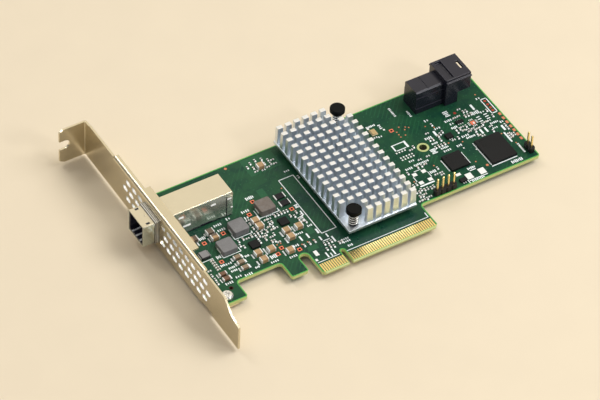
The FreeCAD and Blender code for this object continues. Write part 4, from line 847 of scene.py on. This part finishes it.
def hand_over(piece, slot, finish=None, nodes=()):
    """Give a piece its finish, let it ride on the card and stand for the CAD nodes it replaces."""
    clear_selection()
    piece.data.materials.clear()
    piece.data.materials.append(finish_for(finish or slot))
    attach(piece, "root")
    if nodes:
        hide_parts(*nodes)
    return piece


def round_off(piece, slot, width, segments=2, finish=None, nodes=(), degrees=40.0, shading=35.0):
    """Round the edges of a piece, shade it smooth and hand it over."""
    apply_bevel(piece, width, segments, degrees)
    smooth(piece, shading)
    return hand_over(piece, slot, finish, nodes)


def merged_copy(node, name):
    """A copy of a CAD node with its loose triangles merged into clean faces."""
    piece = bpy.data.objects.new(name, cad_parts[node].data.copy())
    bpy.context.scene.collection.objects.link(piece)
    edit(piece, "VERT")
    bpy.ops.mesh.remove_doubles(threshold=0.001 * MM)
    bpy.ops.mesh.tris_convert_to_quads(face_threshold=math.radians(1.0),
                                       shape_threshold=math.radians(60.0))
    clear_selection()
    return piece


def soft_edged(node, name, width, segments=2, degrees=40.0, finish=None):
    """Stand in for a CAD node with a copy whose edges are rounded, as it is really made."""
    return round_off(merged_copy(node, name), NODE_SLOTS[node], width, segments, finish, [node], degrees)


# --- Operators ---------------------------------------------------------------------------------

class ADAPTER_OT_finishes(Operator):
    """Give every CAD node its procedural finish."""

    bl_idname = "adapter.finishes"
    bl_label = "Finish the card"

    def execute(self, context):
        missing = set(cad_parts) - set(NODE_SLOTS)
        if missing:
            raise RuntimeError("no finish is named for " + ", ".join(sorted(missing)))
        for name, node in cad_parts.items():
            node.data.materials[0] = finish_for(NODE_SLOTS[name])
        return {"FINISHED"}


class ADAPTER_OT_sheet_metal(Operator):
    """Round the pressed edges of the bracket, its screws, the gasket and the cage, and line the vents
    with a painted highlight.
    """

    bl_idname = "adapter.sheet_metal"
    bl_label = "Bracket and cage"

    def execute(self, context):
        sizes = context.scene.adapter_sizes
        soft_edged("bracket", "bracket_pressed", sizes.sheet_round, degrees=50.0)
        soft_edged("external_gasket", "gasket_rolled", sizes.sheet_round * 0.7, finish="gasket_steel")
        soft_edged("bracket_screws", "screws_turned", sizes.sheet_round)
        self.vent_rims(sizes)
        self.cage(sizes)
        return {"FINISHED"}

    def vent_rims(self, sizes):
        """Near-white linings on the walls of the plate's vents: a painted highlight where the walls
        catch the light.
        """
        piece = merged_copy("bracket", "vent_rims")
        plate = BOARD_LOW.x - 0.2 * MM

        def between(place, limits):
            return limits[0] * MM < place < limits[1] * MM

        def in_vent(spot, normal):
            inside = between(spot.y, VENT_Y) and between(spot.z, VENT_Z) and not between(spot.y, PORT_Y)
            return inside and abs(normal.x) < 0.2 and spot.x < plate

        edit(piece, "FACE", False)
        select_faces(piece, lambda spot, normal: not in_vent(spot, normal))
        bpy.ops.mesh.delete(type="FACE")
        clear_selection()
        lining = piece.modifiers.new("lining", "SOLIDIFY")
        lining.thickness = sizes.vent_highlight_thick
        lining.offset = 1.0
        lining.use_even_offset = True
        pick(piece)
        bpy.ops.object.modifier_apply(modifier=lining.name)
        smooth(piece, 50.0)
        # Painted highlight: the vent walls are lined near-white.
        hand_over(piece, "bracket_steel", "punched_edge")

    def cage(self, sizes):
        """The cage with a wide fold along its top edges and fine rounding along the rest."""
        piece = merged_copy("external_cage", "cage_folded")
        low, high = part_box("external_cage")
        middle = (low.y + high.y) / 2
        roof = [point.co for point in piece.data.vertices if point.co.z > high.z - 0.5 * MM]
        half = max(abs(spot.y - middle) for spot in roof)

        def on_fold(a, b):
            if min(a.z, b.z) < high.z - 0.25 * MM:
                return False
            on_wall = all(abs(abs(end.y - middle) - half) < NEAR for end in (a, b))
            along_rear = all(abs(end.x - high.x) < NEAR for end in (a, b))
            return (on_wall and abs(a.y - b.y) < NEAR) or along_rear

        edit(piece, "EDGE", False)
        for side in (-1.0, 1.0):
            def proud(a, b):
                return all(side * (end.y - middle) > half + NEAR for end in (a, b))

            # The plain tabs go back into the walls, where the bent ones stand.
            select_edges(piece, proud)
            bpy.ops.transform.translate(value=(0.0, -side * (high.y - middle - half), 0.0))
        bpy.ops.mesh.select_all(action="SELECT")
        bpy.ops.mesh.remove_doubles(threshold=NEAR)
        select_edges(piece, on_fold)
        bpy.ops.mesh.bevel(offset=sizes.fold_round, segments=3, affect="EDGES")
        clear_selection()
        round_off(piece, "cage_steel", sizes.sheet_round * 0.4, 1, nodes=["external_cage"], degrees=60.0)


class ADAPTER_OT_mouth(Operator):
    """Line the mouth of the external port, lay its spring fingers, and trim the walls of its cage, with
    painted shade along their foot and beside the flaps, and painted highlights on the tabs and fingers.
    """

    bl_idname = "adapter.mouth"
    bl_label = "Port mouth"

    def execute(self, context):
        sizes = context.scene.adapter_sizes
        self.liner(sizes)
        self.fingers(sizes)
        low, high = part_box("external_cage")
        proud = 0.25 * MM
        walls = ((low.y + proud, -1.0), (high.y - proud, 1.0))
        self.skirt(sizes, walls)
        self.tabs(sizes, walls)
        self.flaps(sizes, walls)
        self.dimples(sizes, walls, high.z - 0.2 * MM)
        return {"FINISHED"}

    def liner(self, sizes):
        """The black tube behind the cage's mouth."""
        centre = [(a + b) / 2 * MM for a, b in zip(MOUTH_LOW, MOUTH_HIGH)]
        size = [(b - a) * MM for a, b in zip(MOUTH_LOW, MOUTH_HIGH)]
        piece = open_through(block("mouth_liner", centre, size), 0, sizes.liner_wall)
        round_off(piece, "connector_plastic", sizes.package_round)

    def fingers(self, sizes):
        """Spring fingers on the liner's floor, each bent up and down again."""
        long, wide, thick = (part * MM for part in FINGER_SIZE)
        level = MOUTH_LOW[2] * MM + sizes.liner_wall + thick / 2
        finger = block("mouth_fingers", (FINGER_X * MM, 0.0, level), (long, wide, thick))
        edit(finger, "FACE", False)
        select_faces(finger, lambda spot, normal: normal.x > FACING)
        for bend in FINGER_BENDS:
            pull(*(part * MM for part in bend))
        clear_selection()
        apply_bevel(finger, 0.05 * MM, 1)
        # The fingers take the pale tin finish rather than spring steel, a painted highlight that makes
        # them show bright in the dark mouth.
        hand_over(spread(finger, on_board((0.0, y) for y in FINGER_Y)), "spring_steel", "tin")

    def skirt(self, sizes, walls):
        """A thin black strip on the foot of each of the cage's walls: painted shade for the gap under
        the wall, where the black receptacle shows in shadow.
        """
        thick, high = GAP_SHADE_THICK * MM, sizes.gap_shade_high
        first, last = (x * MM for x in GAP_SHADE_STEP)
        gap_shades = []
        for wall, outward in walls:
            centre = (GAP_SHADE_MIDDLE * MM, wall + outward * thick / 2, TOP + high / 2)
            skirt = block("skirt", centre, (GAP_SHADE_LONG * MM, thick, high))
            edit(skirt)
            for x in (first, last):
                bpy.ops.mesh.select_all(action="SELECT")
                bpy.ops.mesh.bisect(plane_co=(x, 0.0, 0.0), plane_no=(1.0, 0.0, 0.0))
            select_faces(skirt, lambda spot, normal: normal.z > FACING and first < spot.x < last)
            pull(z=GAP_SHADE_RISE * MM)
            clear_selection()
            gap_shades.append(skirt)
        piece = join("receptacle_skirt", gap_shades)
        apply_bevel(piece, 0.02 * MM, 1)
        hand_over(piece, "connector_plastic")

    def tabs(self, sizes, walls):
        """The cage's bent tabs: each slopes out from the wall to a lip along its foot, and is painted
        near-white as a highlight.
        """
        proud = sizes.tab_proud
        tabs = []
        for wall, outward in walls:
            middle = wall + outward * proud / 2
            for x, height, long in CAGE_TABS:
                tab = block("tab", (x * MM, middle, height * MM), (long * MM, proud, sizes.tab_tall))

                def outer_top(a, b):
                    above = min(a.z, b.z) > height * MM
                    return above and all((end.y - middle) * outward > 0.0 for end in (a, b))

                edit(tab, "EDGE", False)
                select_edges(tab, outer_top)
                bpy.ops.transform.translate(value=(0.0, -outward * proud * 0.85, 0.0))
                clear_selection()
                tabs.append(tab)
        # Painted highlight: the tab lips take the near-white finish, not the cage's.
        round_off(join("cage_tab_lips", tabs), "cage_steel", 0.03 * MM, 1, "punched_edge")

    def flaps(self, sizes, walls):
        """The rear wall's flaps, folded onto the side walls, each with a dark strip beside it: painted
        shadow of the flap's edge over the seam.
        """
        centre_x, centre_z = sum(FLAP_X) / 2 * MM, sum(FLAP_Z) / 2 * MM
        long, tall = (FLAP_X[1] - FLAP_X[0]) * MM, (FLAP_Z[1] - FLAP_Z[0]) * MM
        thick, gap = sizes.flap_thick, sizes.seam_shade_wide
        flaps, seam_shades = [], []
        for wall, outward in walls:
            flap = block("flap", (centre_x, wall, centre_z), (long, 2 * thick, tall))
            edit(flap, "EDGE", False)
            select_edges(flap, lambda a, b: max(a.x, b.x) < centre_x and abs(a.z - b.z) < tall / 2)
            bpy.ops.mesh.bevel(offset=2 * thick, segments=1, affect="EDGES")
            clear_selection()
            flaps.append(flap)
            # Painted shadow: a dark strip along the flap's edge.
            slit = block("slit", (FLAP_X[0] * MM - gap / 2, wall, centre_z), (gap, 0.3 * thick, tall))
            edit(slit, "FACE", False)
            select_faces(slit, lambda spot, normal: abs(normal.z) > FACING)
            bpy.ops.mesh.inset(thickness=0.1 * gap, depth=0.3 * gap)
            clear_selection()
            seam_shades.append(slit)
        round_off(join("cage_flaps", flaps), "cage_steel", 0.3 * thick, 1)
        hand_over(join("cage_slits", seam_shades), "connector_plastic")

    def dimples(self, sizes, walls, top):
        """Shallow buttons pressed into the nose of the cage, two on each wall and one on its top."""
        places = [((x * MM, wall, height * MM), math.radians(90.0))
                  for wall, outward in walls for x, height in WALL_DIMPLES]
        places += [((x * MM, y * MM, top), 0.0) for x, y in TOP_DIMPLES]
        proud, radius = sizes.dimple_proud, sizes.dimple_radius
        buttons = [disc("button", place, radius, 2 * proud, 16, tip) for place, tip in places]
        round_off(join("nose_dimples", buttons), "cage_steel", proud * 0.9, 3, shading=60.0)


class ADAPTER_OT_heatsink(Operator):
    """Spread the heatsink's pins towards their feet, break their edges, and round the push pins."""

    bl_idname = "adapter.heatsink"
    bl_label = "Heatsink"

    def execute(self, context):
        sizes = context.scene.adapter_sizes
        piece = merged_copy("heatsink", "heatsink_pins")
        if not self.draft(sizes, piece):
            # The pins stay straight where the floor between them could not be filled again.
            bpy.data.objects.remove(piece)
            piece = merged_copy("heatsink", "heatsink_pins")
        round_off(piece, NODE_SLOTS["heatsink"], sizes.fin_round, nodes=["heatsink"])
        soft_edged("push_pins", "push_pins_moulded", sizes.plastic_round, 3)
        return {"FINISHED"}

    def draft(self, sizes, piece):
        """Widen every pin along x towards its foot, and say whether the mesh is closed after it."""
        low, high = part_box("heatsink")
        rim = (high.x - low.x - PIN_WIDE) % PIN_PITCH / 2
        edit(piece, "FACE", False)
        select_faces(piece, lambda spot, normal: normal.z > FACING and abs(spot.z - PIN_FOOT) < NEAR)
        bpy.ops.mesh.delete(type="FACE")
        for side, across in ((-1.0, 0.0), (1.0, PIN_WIDE)):
            first = low.x + rim + across

            def at_foot(a, b):
                level = all(abs(end.z - PIN_FOOT) < NEAR for end in (a, b))
                on_side = (a.x - first + NEAR) % PIN_PITCH < 2 * NEAR
                return level and abs(a.x - b.x) < NEAR and on_side

            select_edges(piece, at_foot)
            bpy.ops.transform.translate(value=(side * sizes.pin_draft, 0.0, 0.0))
        # The floor between the pins is filled afresh round their wider feet.
        bpy.ops.mesh.select_all(action="DESELECT")
        bpy.ops.mesh.select_non_manifold()
        bpy.ops.mesh.fill()
        bpy.ops.mesh.select_all(action="DESELECT")
        bpy.ops.mesh.select_non_manifold()
        closed = piece.data.total_edge_sel == 0
        bpy.ops.mesh.select_all(action="SELECT")
        bpy.ops.mesh.normals_make_consistent(inside=False)
        for end, inward in ((low.x, 1.0), (high.x, -1.0)):
            select_edges(piece, lambda a, b: max(abs(a.x - end), abs(b.x - end)) < NEAR)
            bpy.ops.transform.translate(value=(inward * sizes.base_trim, 0.0, 0.0))
        clear_selection()
        return closed


class ADAPTER_OT_springs(Operator):
    """Wind the round-wire springs under the push pin heads."""

    bl_idname = "adapter.springs"
    bl_label = "Push pin springs"

    def execute(self, context):
        sizes = context.scene.adapter_sizes
        low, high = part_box("push_pin_springs")
        wire = sizes.wire_radius
        mean = PUSH_PIN_PLACES[0][0] * MM - low.x - wire
        rise = (high.z - low.z - 2.0 * wire) / sizes.spring_turns
        clear_selection()
        bpy.ops.mesh.primitive_circle_add(vertices=10, radius=wire, location=(mean, 0.0, low.z + wire),
                                          rotation=(math.radians(90.0), 0.0, 0.0))
        spring = bpy.context.object
        spring.name = "springs_wound"
        bpy.ops.object.transform_apply(location=True, rotation=True, scale=True)
        winding = spring.modifiers.new("winding", "SCREW")
        winding.axis = "Z"
        winding.iterations = sizes.spring_turns
        winding.screw_offset = rise
        winding.steps = winding.render_steps = 24
        winding.use_merge_vertices = True
        winding.merge_threshold = 0.001 * MM
        bpy.ops.object.modifier_apply(modifier=winding.name)
        edit(spring, "EDGE")
        bpy.ops.mesh.fill_holes(sides=12)
        bpy.ops.mesh.select_all(action="SELECT")
        bpy.ops.mesh.normals_make_consistent(inside=False)
        springs = spread(spring, on_board(PUSH_PIN_PLACES))
        smooth(springs, 50.0)
        hand_over(springs, "spring_steel", nodes=["push_pin_springs"])
        return {"FINISHED"}


class ADAPTER_OT_ports(Operator):
    """Round the moulded edges of the black port housings and headers."""

    bl_idname = "adapter.ports"
    bl_label = "Port housings"

    def execute(self, context):
        sizes = context.scene.adapter_sizes
        self.shroud(sizes)
        soft_edged("internal_rear_cover", "internal_cover_moulded", sizes.plastic_round * 2.0, 3)
        soft_edged("external_receptacle", "external_receptacle_moulded", sizes.plastic_round)
        soft_edged("long_header_strip", "long_header_moulded", sizes.plastic_round * 0.6)
        soft_edged("short_header_strip", "short_header_moulded", sizes.plastic_round * 0.6)
        return {"FINISHED"}

    def shroud(self, sizes):
        """The shroud of the internal port, its roof's panel sunk deeper than the solid has it."""
        piece = merged_copy("internal_housing", "internal_housing_moulded")
        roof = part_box("internal_housing")[1].z
        shallow, deep = PANEL_DEPTHS
        edit(piece, "FACE", False)
        select_faces(piece, lambda spot, normal: normal.z > FACING and shallow < roof - spot.z < deep)
        bpy.ops.transform.translate(value=(0.0, 0.0, -sizes.panel_sink))
        slot = NODE_SLOTS["internal_housing"]
        round_off(piece, slot, sizes.plastic_round * 2.0, 3, nodes=["internal_housing"])


class ADAPTER_OT_packages(Operator):
    """Round the edges of the chips, inductors, capacitors and their ends."""

    bl_idname = "adapter.packages"
    bl_label = "Chips and capacitors"

    def execute(self, context):
        sizes = context.scene.adapter_sizes
        wide = ["pale_capacitors", "pale_capacitor_ends", "dark_capacitors", "dark_capacitor_ends",
                "inductor_terminals"]
        fine = ["small_memory_chip", "large_memory_chip", "regulator_chips", "transistor_packages",
                "sense_resistors", "sense_resistor_ends", "controller_lid"]
        for node in wide:
            soft_edged(node, node + "_soft", sizes.package_round)
        for node in fine:
            soft_edged(node, node + "_soft", sizes.package_round * 0.6)
        for node in ("crystal_base", "crystal_lid"):
            soft_edged(node, node + "_soft", sizes.package_round * 0.6, finish=node)
        soft_edged("power_inductors", "power_inductors_soft", sizes.powder_round, 1)
        self.plate()
        return {"FINISHED"}

    def plate(self):
        """The paler plate on top of the small inductor."""
        x, y = (part * MM for part in SMALL_INDUCTOR)
        wide, thick, sunk = 3.3 * MM, 0.08 * MM, 0.02 * MM
        corners = [point.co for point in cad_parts["power_inductors"].data.vertices]
        top = max(spot.z for spot in corners if abs(spot.x - x) < wide)
        piece = block("small_inductor_plate", (x, y, top + thick / 2 - sunk), (wide, wide, thick))
        round_off(piece, "inductor_powder", 0.03 * MM, finish="inductor_plate")


class ADAPTER_OT_margin(Operator):
    """Leave a bright margin along the routed edges, a bare ring round the mounting hole, and a wall and
    rim painted dark as shade at the tool hole.
    """

    bl_idname = "adapter.margin"
    bl_label = "Board margin"

    def execute(self, context):
        sizes = context.scene.adapter_sizes
        for side, name in ((1.0, "margin_component_side"), (-1.0, "margin_solder_side")):
            piece = merged_copy("circuit_board", name)
            edit(piece, "FACE", False)
            select_faces(piece, lambda spot, normal: normal.z * side < 0.99)
            bpy.ops.mesh.delete(type="FACE")
            bpy.ops.mesh.select_all(action="SELECT")
            bpy.ops.mesh.inset(thickness=sizes.margin_wide, depth=0.0, use_boundary=True,
                               use_even_offset=True)
            bpy.ops.mesh.delete(type="FACE")
            select_faces(piece, lambda spot, normal: self.at_hole(spot))
            bpy.ops.mesh.delete(type="FACE")
            bpy.ops.mesh.select_all(action="SELECT")
            pull(z=side * sizes.margin_thick)
            clear_selection()
            hand_over(piece, "laminate", "margin")
        self.hole_ring(sizes)
        self.hole_barrel(sizes)
        return {"FINISHED"}

    def at_hole(self, spot):
        """Whether a spot lies at the rim of a drilled hole, and not along the board's outline."""
        holes = [MOUNTING_HOLE, TOOL_HOLE, *PUSH_PIN_PLACES, *SCREW_HOLES]
        return any(math.hypot(spot.x - x * MM, spot.y - y * MM) < 3.2 * MM for x, y in holes)

    def hole_ring(self, sizes):
        """A bare ring on each face round the mounting hole."""
        x, y = (part * MM for part in MOUNTING_HOLE)
        thin, radius = sizes.margin_thick, 1.62 * MM + sizes.ring_wide
        rings = [open_through(disc("ring", (x, y, level), radius, 2 * thin, 40), 2, sizes.ring_wide)
                 for level in (TOP + thin, UNDER - thin)]
        piece = join("mounting_hole_ring", rings)
        apply_bevel(piece, thin * 0.4, 1)
        hand_over(piece, "laminate", "hole_ring")

    def hole_barrel(self, sizes):
        """The wall and rim of the tool hole, painted dark brown: painted shade inside the hole and
        painted shadow round it.
        """
        x, y = (part * MM for part in TOOL_HOLE)
        thin = sizes.margin_thick
        barrel = disc("barrel", (x, y, (TOP + UNDER) / 2), 0.69 * MM, TOP - UNDER, 24)
        flange = disc("flange", (x, y, TOP + thin), 0.9 * MM, 2 * thin, 24)
        parts = [open_through(barrel, 2, 0.12 * MM), open_through(flange, 2, 0.3 * MM)]
        piece = join("tool_hole_barrel", parts)
        apply_bevel(piece, thin * 0.4, 1)
        hand_over(piece, "laminate", "stained_hole")


class ADAPTER_OT_print(Operator):
    """Print the white outlines and rows of strokes beside the parts."""

    bl_idname = "adapter.print"
    bl_label = "Printed marks"

    def execute(self, context):
        sizes = context.scene.adapter_sizes
        thick = sizes.print_thick
        bars = [tuple(part * MM for part in bar) for bar in PRINTED_BARS]
        for row in PRINTED_STROKES:
            bars += self.strokes(*(part * MM for part in row), sizes.stroke_wide)
        level = TOP + thick / 2
        x, y, wide, tall = bars[0]
        piece = block("printed_marks", (x, y, level), (wide, tall, thick))
        edit(piece, "FACE", False)
        for x, y, wide, tall in bars[1:]:
            bpy.ops.mesh.select_all(action="DESELECT")
            bpy.ops.mesh.primitive_cube_add(size=1.0, location=(x, y, level), scale=(wide, tall, thick))
        select_faces(piece, lambda spot, normal: normal.z < -FACING)
        bpy.ops.mesh.delete(type="FACE")
        clear_selection()
        hand_over(piece, "laminate", "ink")
        return {"FINISHED"}

    def strokes(self, x, y, wide, tall, stroke):
        """Upright or lying strokes that fill one row, every third one short."""
        upright = wide >= tall
        span = wide if upright else tall
        count = max(2, round(span / (stroke * 1.5)))
        marks = []
        for index in range(count):
            along = -span / 2 + stroke / 2 + index * (span - stroke) / (count - 1)
            reach = (tall if upright else wide) * (0.7 if index % 3 == 1 else 1.0)
            if upright:
                marks.append((x + along, y, stroke, reach))
            else:
                marks.append((x, y + along, reach, stroke))
        return marks


class ADAPTER_OT_lands(Operator):
    """Lay the tinned lands, bare copper test pads, vias and edge pads that carry no part."""

    bl_idname = "adapter.lands"
    bl_label = "Lands and test pads"

    def execute(self, context):
        sizes = context.scene.adapter_sizes
        thick = sizes.land_thick
        lands = list(TINNED_LANDS)
        for x, y, count in LEAD_LAND_ROWS:
            lands += [(x + LEAD_PITCH * index, y, *LEAD_LAND) for index in range(count)]
        x, y = QUAD_CENTRE
        for out in (QUAD_REACH, -QUAD_REACH):
            lands += [(x + out, y + step, *QUAD_LAND) for step in QUAD_STEPS]
            lands += [(x + step, y + out, *reversed(QUAD_LAND)) for step in QUAD_STEPS]
        tinned = [block("land", (x * MM, y * MM, TOP + thick / 2), (wide * MM, tall * MM, thick))
                  for x, y, wide, tall in lands]
        round_off(join("tinned_lands", tinned), "tin", thick * 0.45, shading=60.0)
        self.copper(sizes.margin_thick)
        return {"FINISHED"}

    def copper(self, thin):
        """Bare copper: square test pads with a hole, vias, sighting marks and pads at the rear edge."""

        def plate(name, x, y, wide, tall, thick=2 * thin):
            return block(name, (x * MM, y * MM, TOP + thick / 2), (wide * MM, tall * MM, thick))

        def dots(name, places, radius, sides, lift=thin):
            return [disc(name, (x * MM, y * MM, TOP + lift), radius * MM, 2 * thin, sides)
                    for x, y in places]

        def broken(piece, width, slot, finish):
            apply_bevel(piece, width, 1)
            hand_over(piece, slot, finish)

        pad = plate("test_pads", 0.0, 0.0, 1.7, 1.7)
        edit(pad, "FACE", False)
        select_faces(pad, lambda spot, normal: normal.z > FACING)
        bpy.ops.mesh.inset(thickness=0.35 * MM, depth=0.0)
        bpy.ops.mesh.inset(thickness=0.05 * MM, depth=-thin)
        clear_selection()
        pads = spread(pad, on_board(TEST_PADS))
        exposed = plate("exposed_pad", *QUAD_CENTRE, QUAD_PAD, QUAD_PAD)
        apply_bevel(exposed, thin * 0.8, 1)
        hand_over(join("copper_pads", [exposed, pads]), "gold", "bare_copper")
        edge_pads = [plate("edge_pad", x, y, 1.1, 1.5, 3 * thin) for x, y in EDGE_PADS]
        dull = [*edge_pads, *dots("via", BARE_VIAS, 0.32, 12), *dots("mark", SIGHTING_MARKS, 0.6, 20)]
        broken(join("copper_vias", dull), thin * 0.5, "gold", "dull_copper")
        broken(join("probe_row", dots("dot", PROBE_DOTS, 0.62, 20)), thin * 0.5, "gold", "dark_copper")
        # Painted shade: dark discs stand for the insides of the holes in the test pads.
        holes = join("test_pad_holes", dots("hole", TEST_PADS, 0.5, 16, 1.6 * thin))
        broken(holes, thin * 0.4, "chip_mould", "dark_hole")


class ADAPTER_OT_small_chips(Operator):
    """Set the small chip resistors and capacitors between the larger parts."""

    bl_idname = "adapter.small_chips"
    bl_label = "Small chips"

    def execute(self, context):
        sizes = context.scene.adapter_sizes
        long, wide, tall, end = sizes.chip_long, sizes.chip_wide, sizes.chip_tall, sizes.chip_end
        kinds = (("small_capacitors", CAPACITOR_CHIPS, "pale_ceramic", "chip_ceramic", 1.0),
                 ("small_resistors", RESISTOR_CHIPS, "resistor_coat", None, 0.75))
        for name, chips, slot, finish, height in kinds:
            places = [(x * MM, y * MM, TOP, math.radians(90.0) * turned) for x, y, turned in chips]
            body = block(name, (0.0, 0.0, tall * height / 2), (long - end, wide * 0.96, tall * height))
            apply_bevel(body, 0.05 * MM, 1)
            hand_over(spread(body, places), slot, finish)
            ends = [self.tinned_end(side, (long - end) / 2, end, wide, tall * height)
                    for side in (-1, 1)]
            pair = join(name + "_ends", ends)
            hand_over(spread(pair, places), "tin")
        return {"FINISHED"}

    def tinned_end(self, side, reach, end, wide, tall):
        """One tinned end with solder that slopes down to the land."""
        x, solder = side * reach, 0.28 * MM
        piece = block("end", (x, 0.0, tall / 2 + 0.005 * MM), (end, wide, tall + 0.03 * MM))
        edit(piece, "FACE", False)
        select_faces(piece, lambda spot, normal: normal.x * side > FACING)
        pull(x=side * solder)
        bpy.ops.transform.resize(value=(1.0, 1.12, 0.25), center_override=(x, 0.0, 0.0))
        clear_selection()
        return piece


class ADAPTER_OT_solder_joints(Operator):
    """Solder the header posts on the underside, and let the pins of both ports show there."""

    bl_idname = "adapter.solder_joints"
    bl_label = "Solder joints"

    def execute(self, context):
        places = []
        half_post = 0.32 * MM
        for node, along, count in (("long_header_posts", 0, 4), ("short_header_posts", 1, 2)):
            low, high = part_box(node)
            first = low[along] + half_post
            step = (high[along] - half_post - first) / (count - 1)
            for index in range(count):
                at = (low + high) / 2
                at[along] = first + index * step
                places.append((at.x, at.y, UNDER, 0.0))
        clear_selection()
        tall = 0.7 * MM
        bpy.ops.mesh.primitive_cone_add(vertices=16, radius1=0.5 * MM, radius2=0.95 * MM, depth=tall,
                                        location=(0.0, 0.0, -tall / 2))
        joint = bpy.context.object
        joint.name = "solder_joints"
        bpy.ops.object.transform_apply(location=True, rotation=True, scale=True)
        apply_bevel(joint, 0.12 * MM, 2)
        joints = spread(joint, places)
        smooth(joints, 60.0)
        hand_over(joints, "tin")
        self.pin_ends()
        return {"FINISHED"}

    def pin_ends(self):
        """The pressed-in pins of both ports, as rounded ends on the underside."""
        places = []
        front, rear, beside = 2.0 * MM, 1.5 * MM, 0.8 * MM
        for node, count in (("external_cage", 5), ("internal_housing", 3)):
            low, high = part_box(node)
            first = max(low.x, BOARD_LOW.x) + front
            step = (high.x - rear - first) / (count - 1)
            for index in range(count):
                for y in (low.y + beside, high.y - beside):
                    places.append((first + index * step, y, UNDER, 0.0))
        tall = 0.4 * MM
        pin_end = disc("port_pin_ends", (0.0, 0.0, -tall / 2), 0.5 * MM, tall, 12)
        apply_bevel(pin_end, 0.16 * MM, 2)
        piece = spread(pin_end, places)
        smooth(piece, 60.0)
        hand_over(piece, "tin")


class ADAPTER_OT_stage(Operator):
    """Lay the pale floor, set the soft lights and aim the camera."""

    bl_idname = "adapter.stage"
    bl_label = "Stage"

    def execute(self, context):
        stage = context.scene.adapter_stage
        clear_selection()
        bpy.ops.mesh.primitive_plane_add(size=6.0, location=(0.0, 0.0, CAD_BOX[0][2]))
        floor = bpy.context.object
        floor.name = "floor"
        finish = Finish("finish_floor")
        tone = finish.tones(finish.noise(20 * MM, 3.0), stage.floor, 0.98, 1.0)
        floor.data.materials.append(finish.set(Base_Color=tone, Roughness=0.8))
        for name, place, size, setting in LAMPS:
            self.lamp(name, place, size, getattr(stage, setting))
        self.surround(stage.sky)
        self.camera(stage.lens)
        context.scene.view_settings.view_transform = "Standard"
        return {"FINISHED"}

    def lamp(self, name, place, size, power):
        """A soft square light aimed at the middle of the card."""
        data = bpy.data.lights.new(name, "AREA")
        data.energy = power
        data.size = size
        lamp = bpy.data.objects.new(name, data)
        lamp.location = place
        lamp.rotation_euler = (LAMP_AIM - Vector(place)).to_track_quat("-Z", "Y").to_euler()
        bpy.context.scene.collection.objects.link(lamp)

    def surround(self, strength):
        """A pale room whose far wall, behind the card, is lighter and warmer than the rest."""
        world = bpy.data.worlds.new("surround")
        world.use_nodes = True
        tree = world.node_tree
        back = tree.nodes["Background"]
        back.inputs["Strength"].default_value = strength
        coords = tree.nodes.new("ShaderNodeTexCoord")
        facing = tree.nodes.new("ShaderNodeVectorMath")
        facing.operation = "DOT_PRODUCT"
        facing.inputs[1].default_value = Vector((0.38, 0.58, 0.72)).normalized()
        ramp = tree.nodes.new("ShaderNodeValToRGB")
        ramp.color_ramp.interpolation = "EASE"
        near, far = ramp.color_ramp.elements
        near.position, near.color = 0.45, (0.28, 0.28, 0.29, 1.0)
        far.position, far.color = 0.95, (0.95, 0.88, 0.74, 1.0)
        tree.links.new(coords.outputs["Generated"], facing.inputs[0])
        tree.links.new(facing.outputs["Value"], ramp.inputs["Fac"])
        tree.links.new(ramp.outputs["Color"], back.inputs["Color"])
        bpy.context.scene.world = world

    def camera(self, lens):
        """The camera at the photograph's viewing angle."""
        right = Vector((0.8558270703, -0.5162104939, 0.0329659168))
        down = Vector((-0.3507861184, -0.6260445575, -0.6964318425))
        ahead = Vector((0.3801435582, 0.5844612374, -0.7168653550))
        data = bpy.data.cameras.new("camera")
        data.lens = lens
        data.sensor_width = 36.0
        camera = bpy.data.objects.new("camera", data)
        matrix = Matrix((right, -down, -ahead)).transposed().to_4x4()
        matrix.translation = (-0.5541895, -0.8133086, 1.0443815)
        camera.matrix_world = matrix
        bpy.context.scene.collection.objects.link(camera)
        bpy.context.scene.camera = camera


OPERATORS = [
    ADAPTER_OT_finishes,
    ADAPTER_OT_sheet_metal,
    ADAPTER_OT_mouth,
    ADAPTER_OT_heatsink,
    ADAPTER_OT_springs,
    ADAPTER_OT_ports,
    ADAPTER_OT_packages,
    ADAPTER_OT_margin,
    ADAPTER_OT_print,
    ADAPTER_OT_lands,
    ADAPTER_OT_small_chips,
    ADAPTER_OT_solder_joints,
    ADAPTER_OT_stage,
]


SETTINGS = {
    "adapter_sizes": AdapterSizes,
    "adapter_colours": AdapterColours,
    "adapter_stage": AdapterStage,
}


class ADAPTER_PT_panel(Panel):
    """Sidebar panel that lists the steps in order."""

    bl_label = "Host bus adapter"
    bl_idname = "ADAPTER_PT_panel"
    bl_space_type = "VIEW_3D"
    bl_region_type = "UI"
    bl_category = "Adapter"

    def draw(self, context):
        for operator in OPERATORS:
            self.layout.operator(operator.bl_idname)
        for name in SETTINGS:
            group = getattr(context.scene, name)
            column = self.layout.column(align=True)
            for key in group.__annotations__:
                column.prop(group, key)


CLASSES = [*SETTINGS.values(), *OPERATORS, ADAPTER_PT_panel]


def register():
    """Register the classes and hang their settings on the scene."""
    for kind in CLASSES:
        bpy.utils.register_class(kind)
    for name, kind in SETTINGS.items():
        setattr(bpy.types.Scene, name, PointerProperty(type=kind))


def unregister():
    """Take the settings and classes away again."""
    for name in SETTINGS:
        delattr(bpy.types.Scene, name)
    for kind in reversed(CLASSES):
        bpy.utils.unregister_class(kind)


def main():
    """Dress the card in order."""
    register()
    bpy.ops.adapter.finishes()
    bpy.ops.adapter.sheet_metal()
    bpy.ops.adapter.mouth()
    bpy.ops.adapter.heatsink()
    bpy.ops.adapter.springs()
    bpy.ops.adapter.ports()
    bpy.ops.adapter.packages()
    bpy.ops.adapter.margin()
    bpy.ops.adapter.print()
    bpy.ops.adapter.lands()
    bpy.ops.adapter.small_chips()
    bpy.ops.adapter.solder_joints()
    bpy.ops.adapter.stage()


if __name__ == "__main__":
    main()
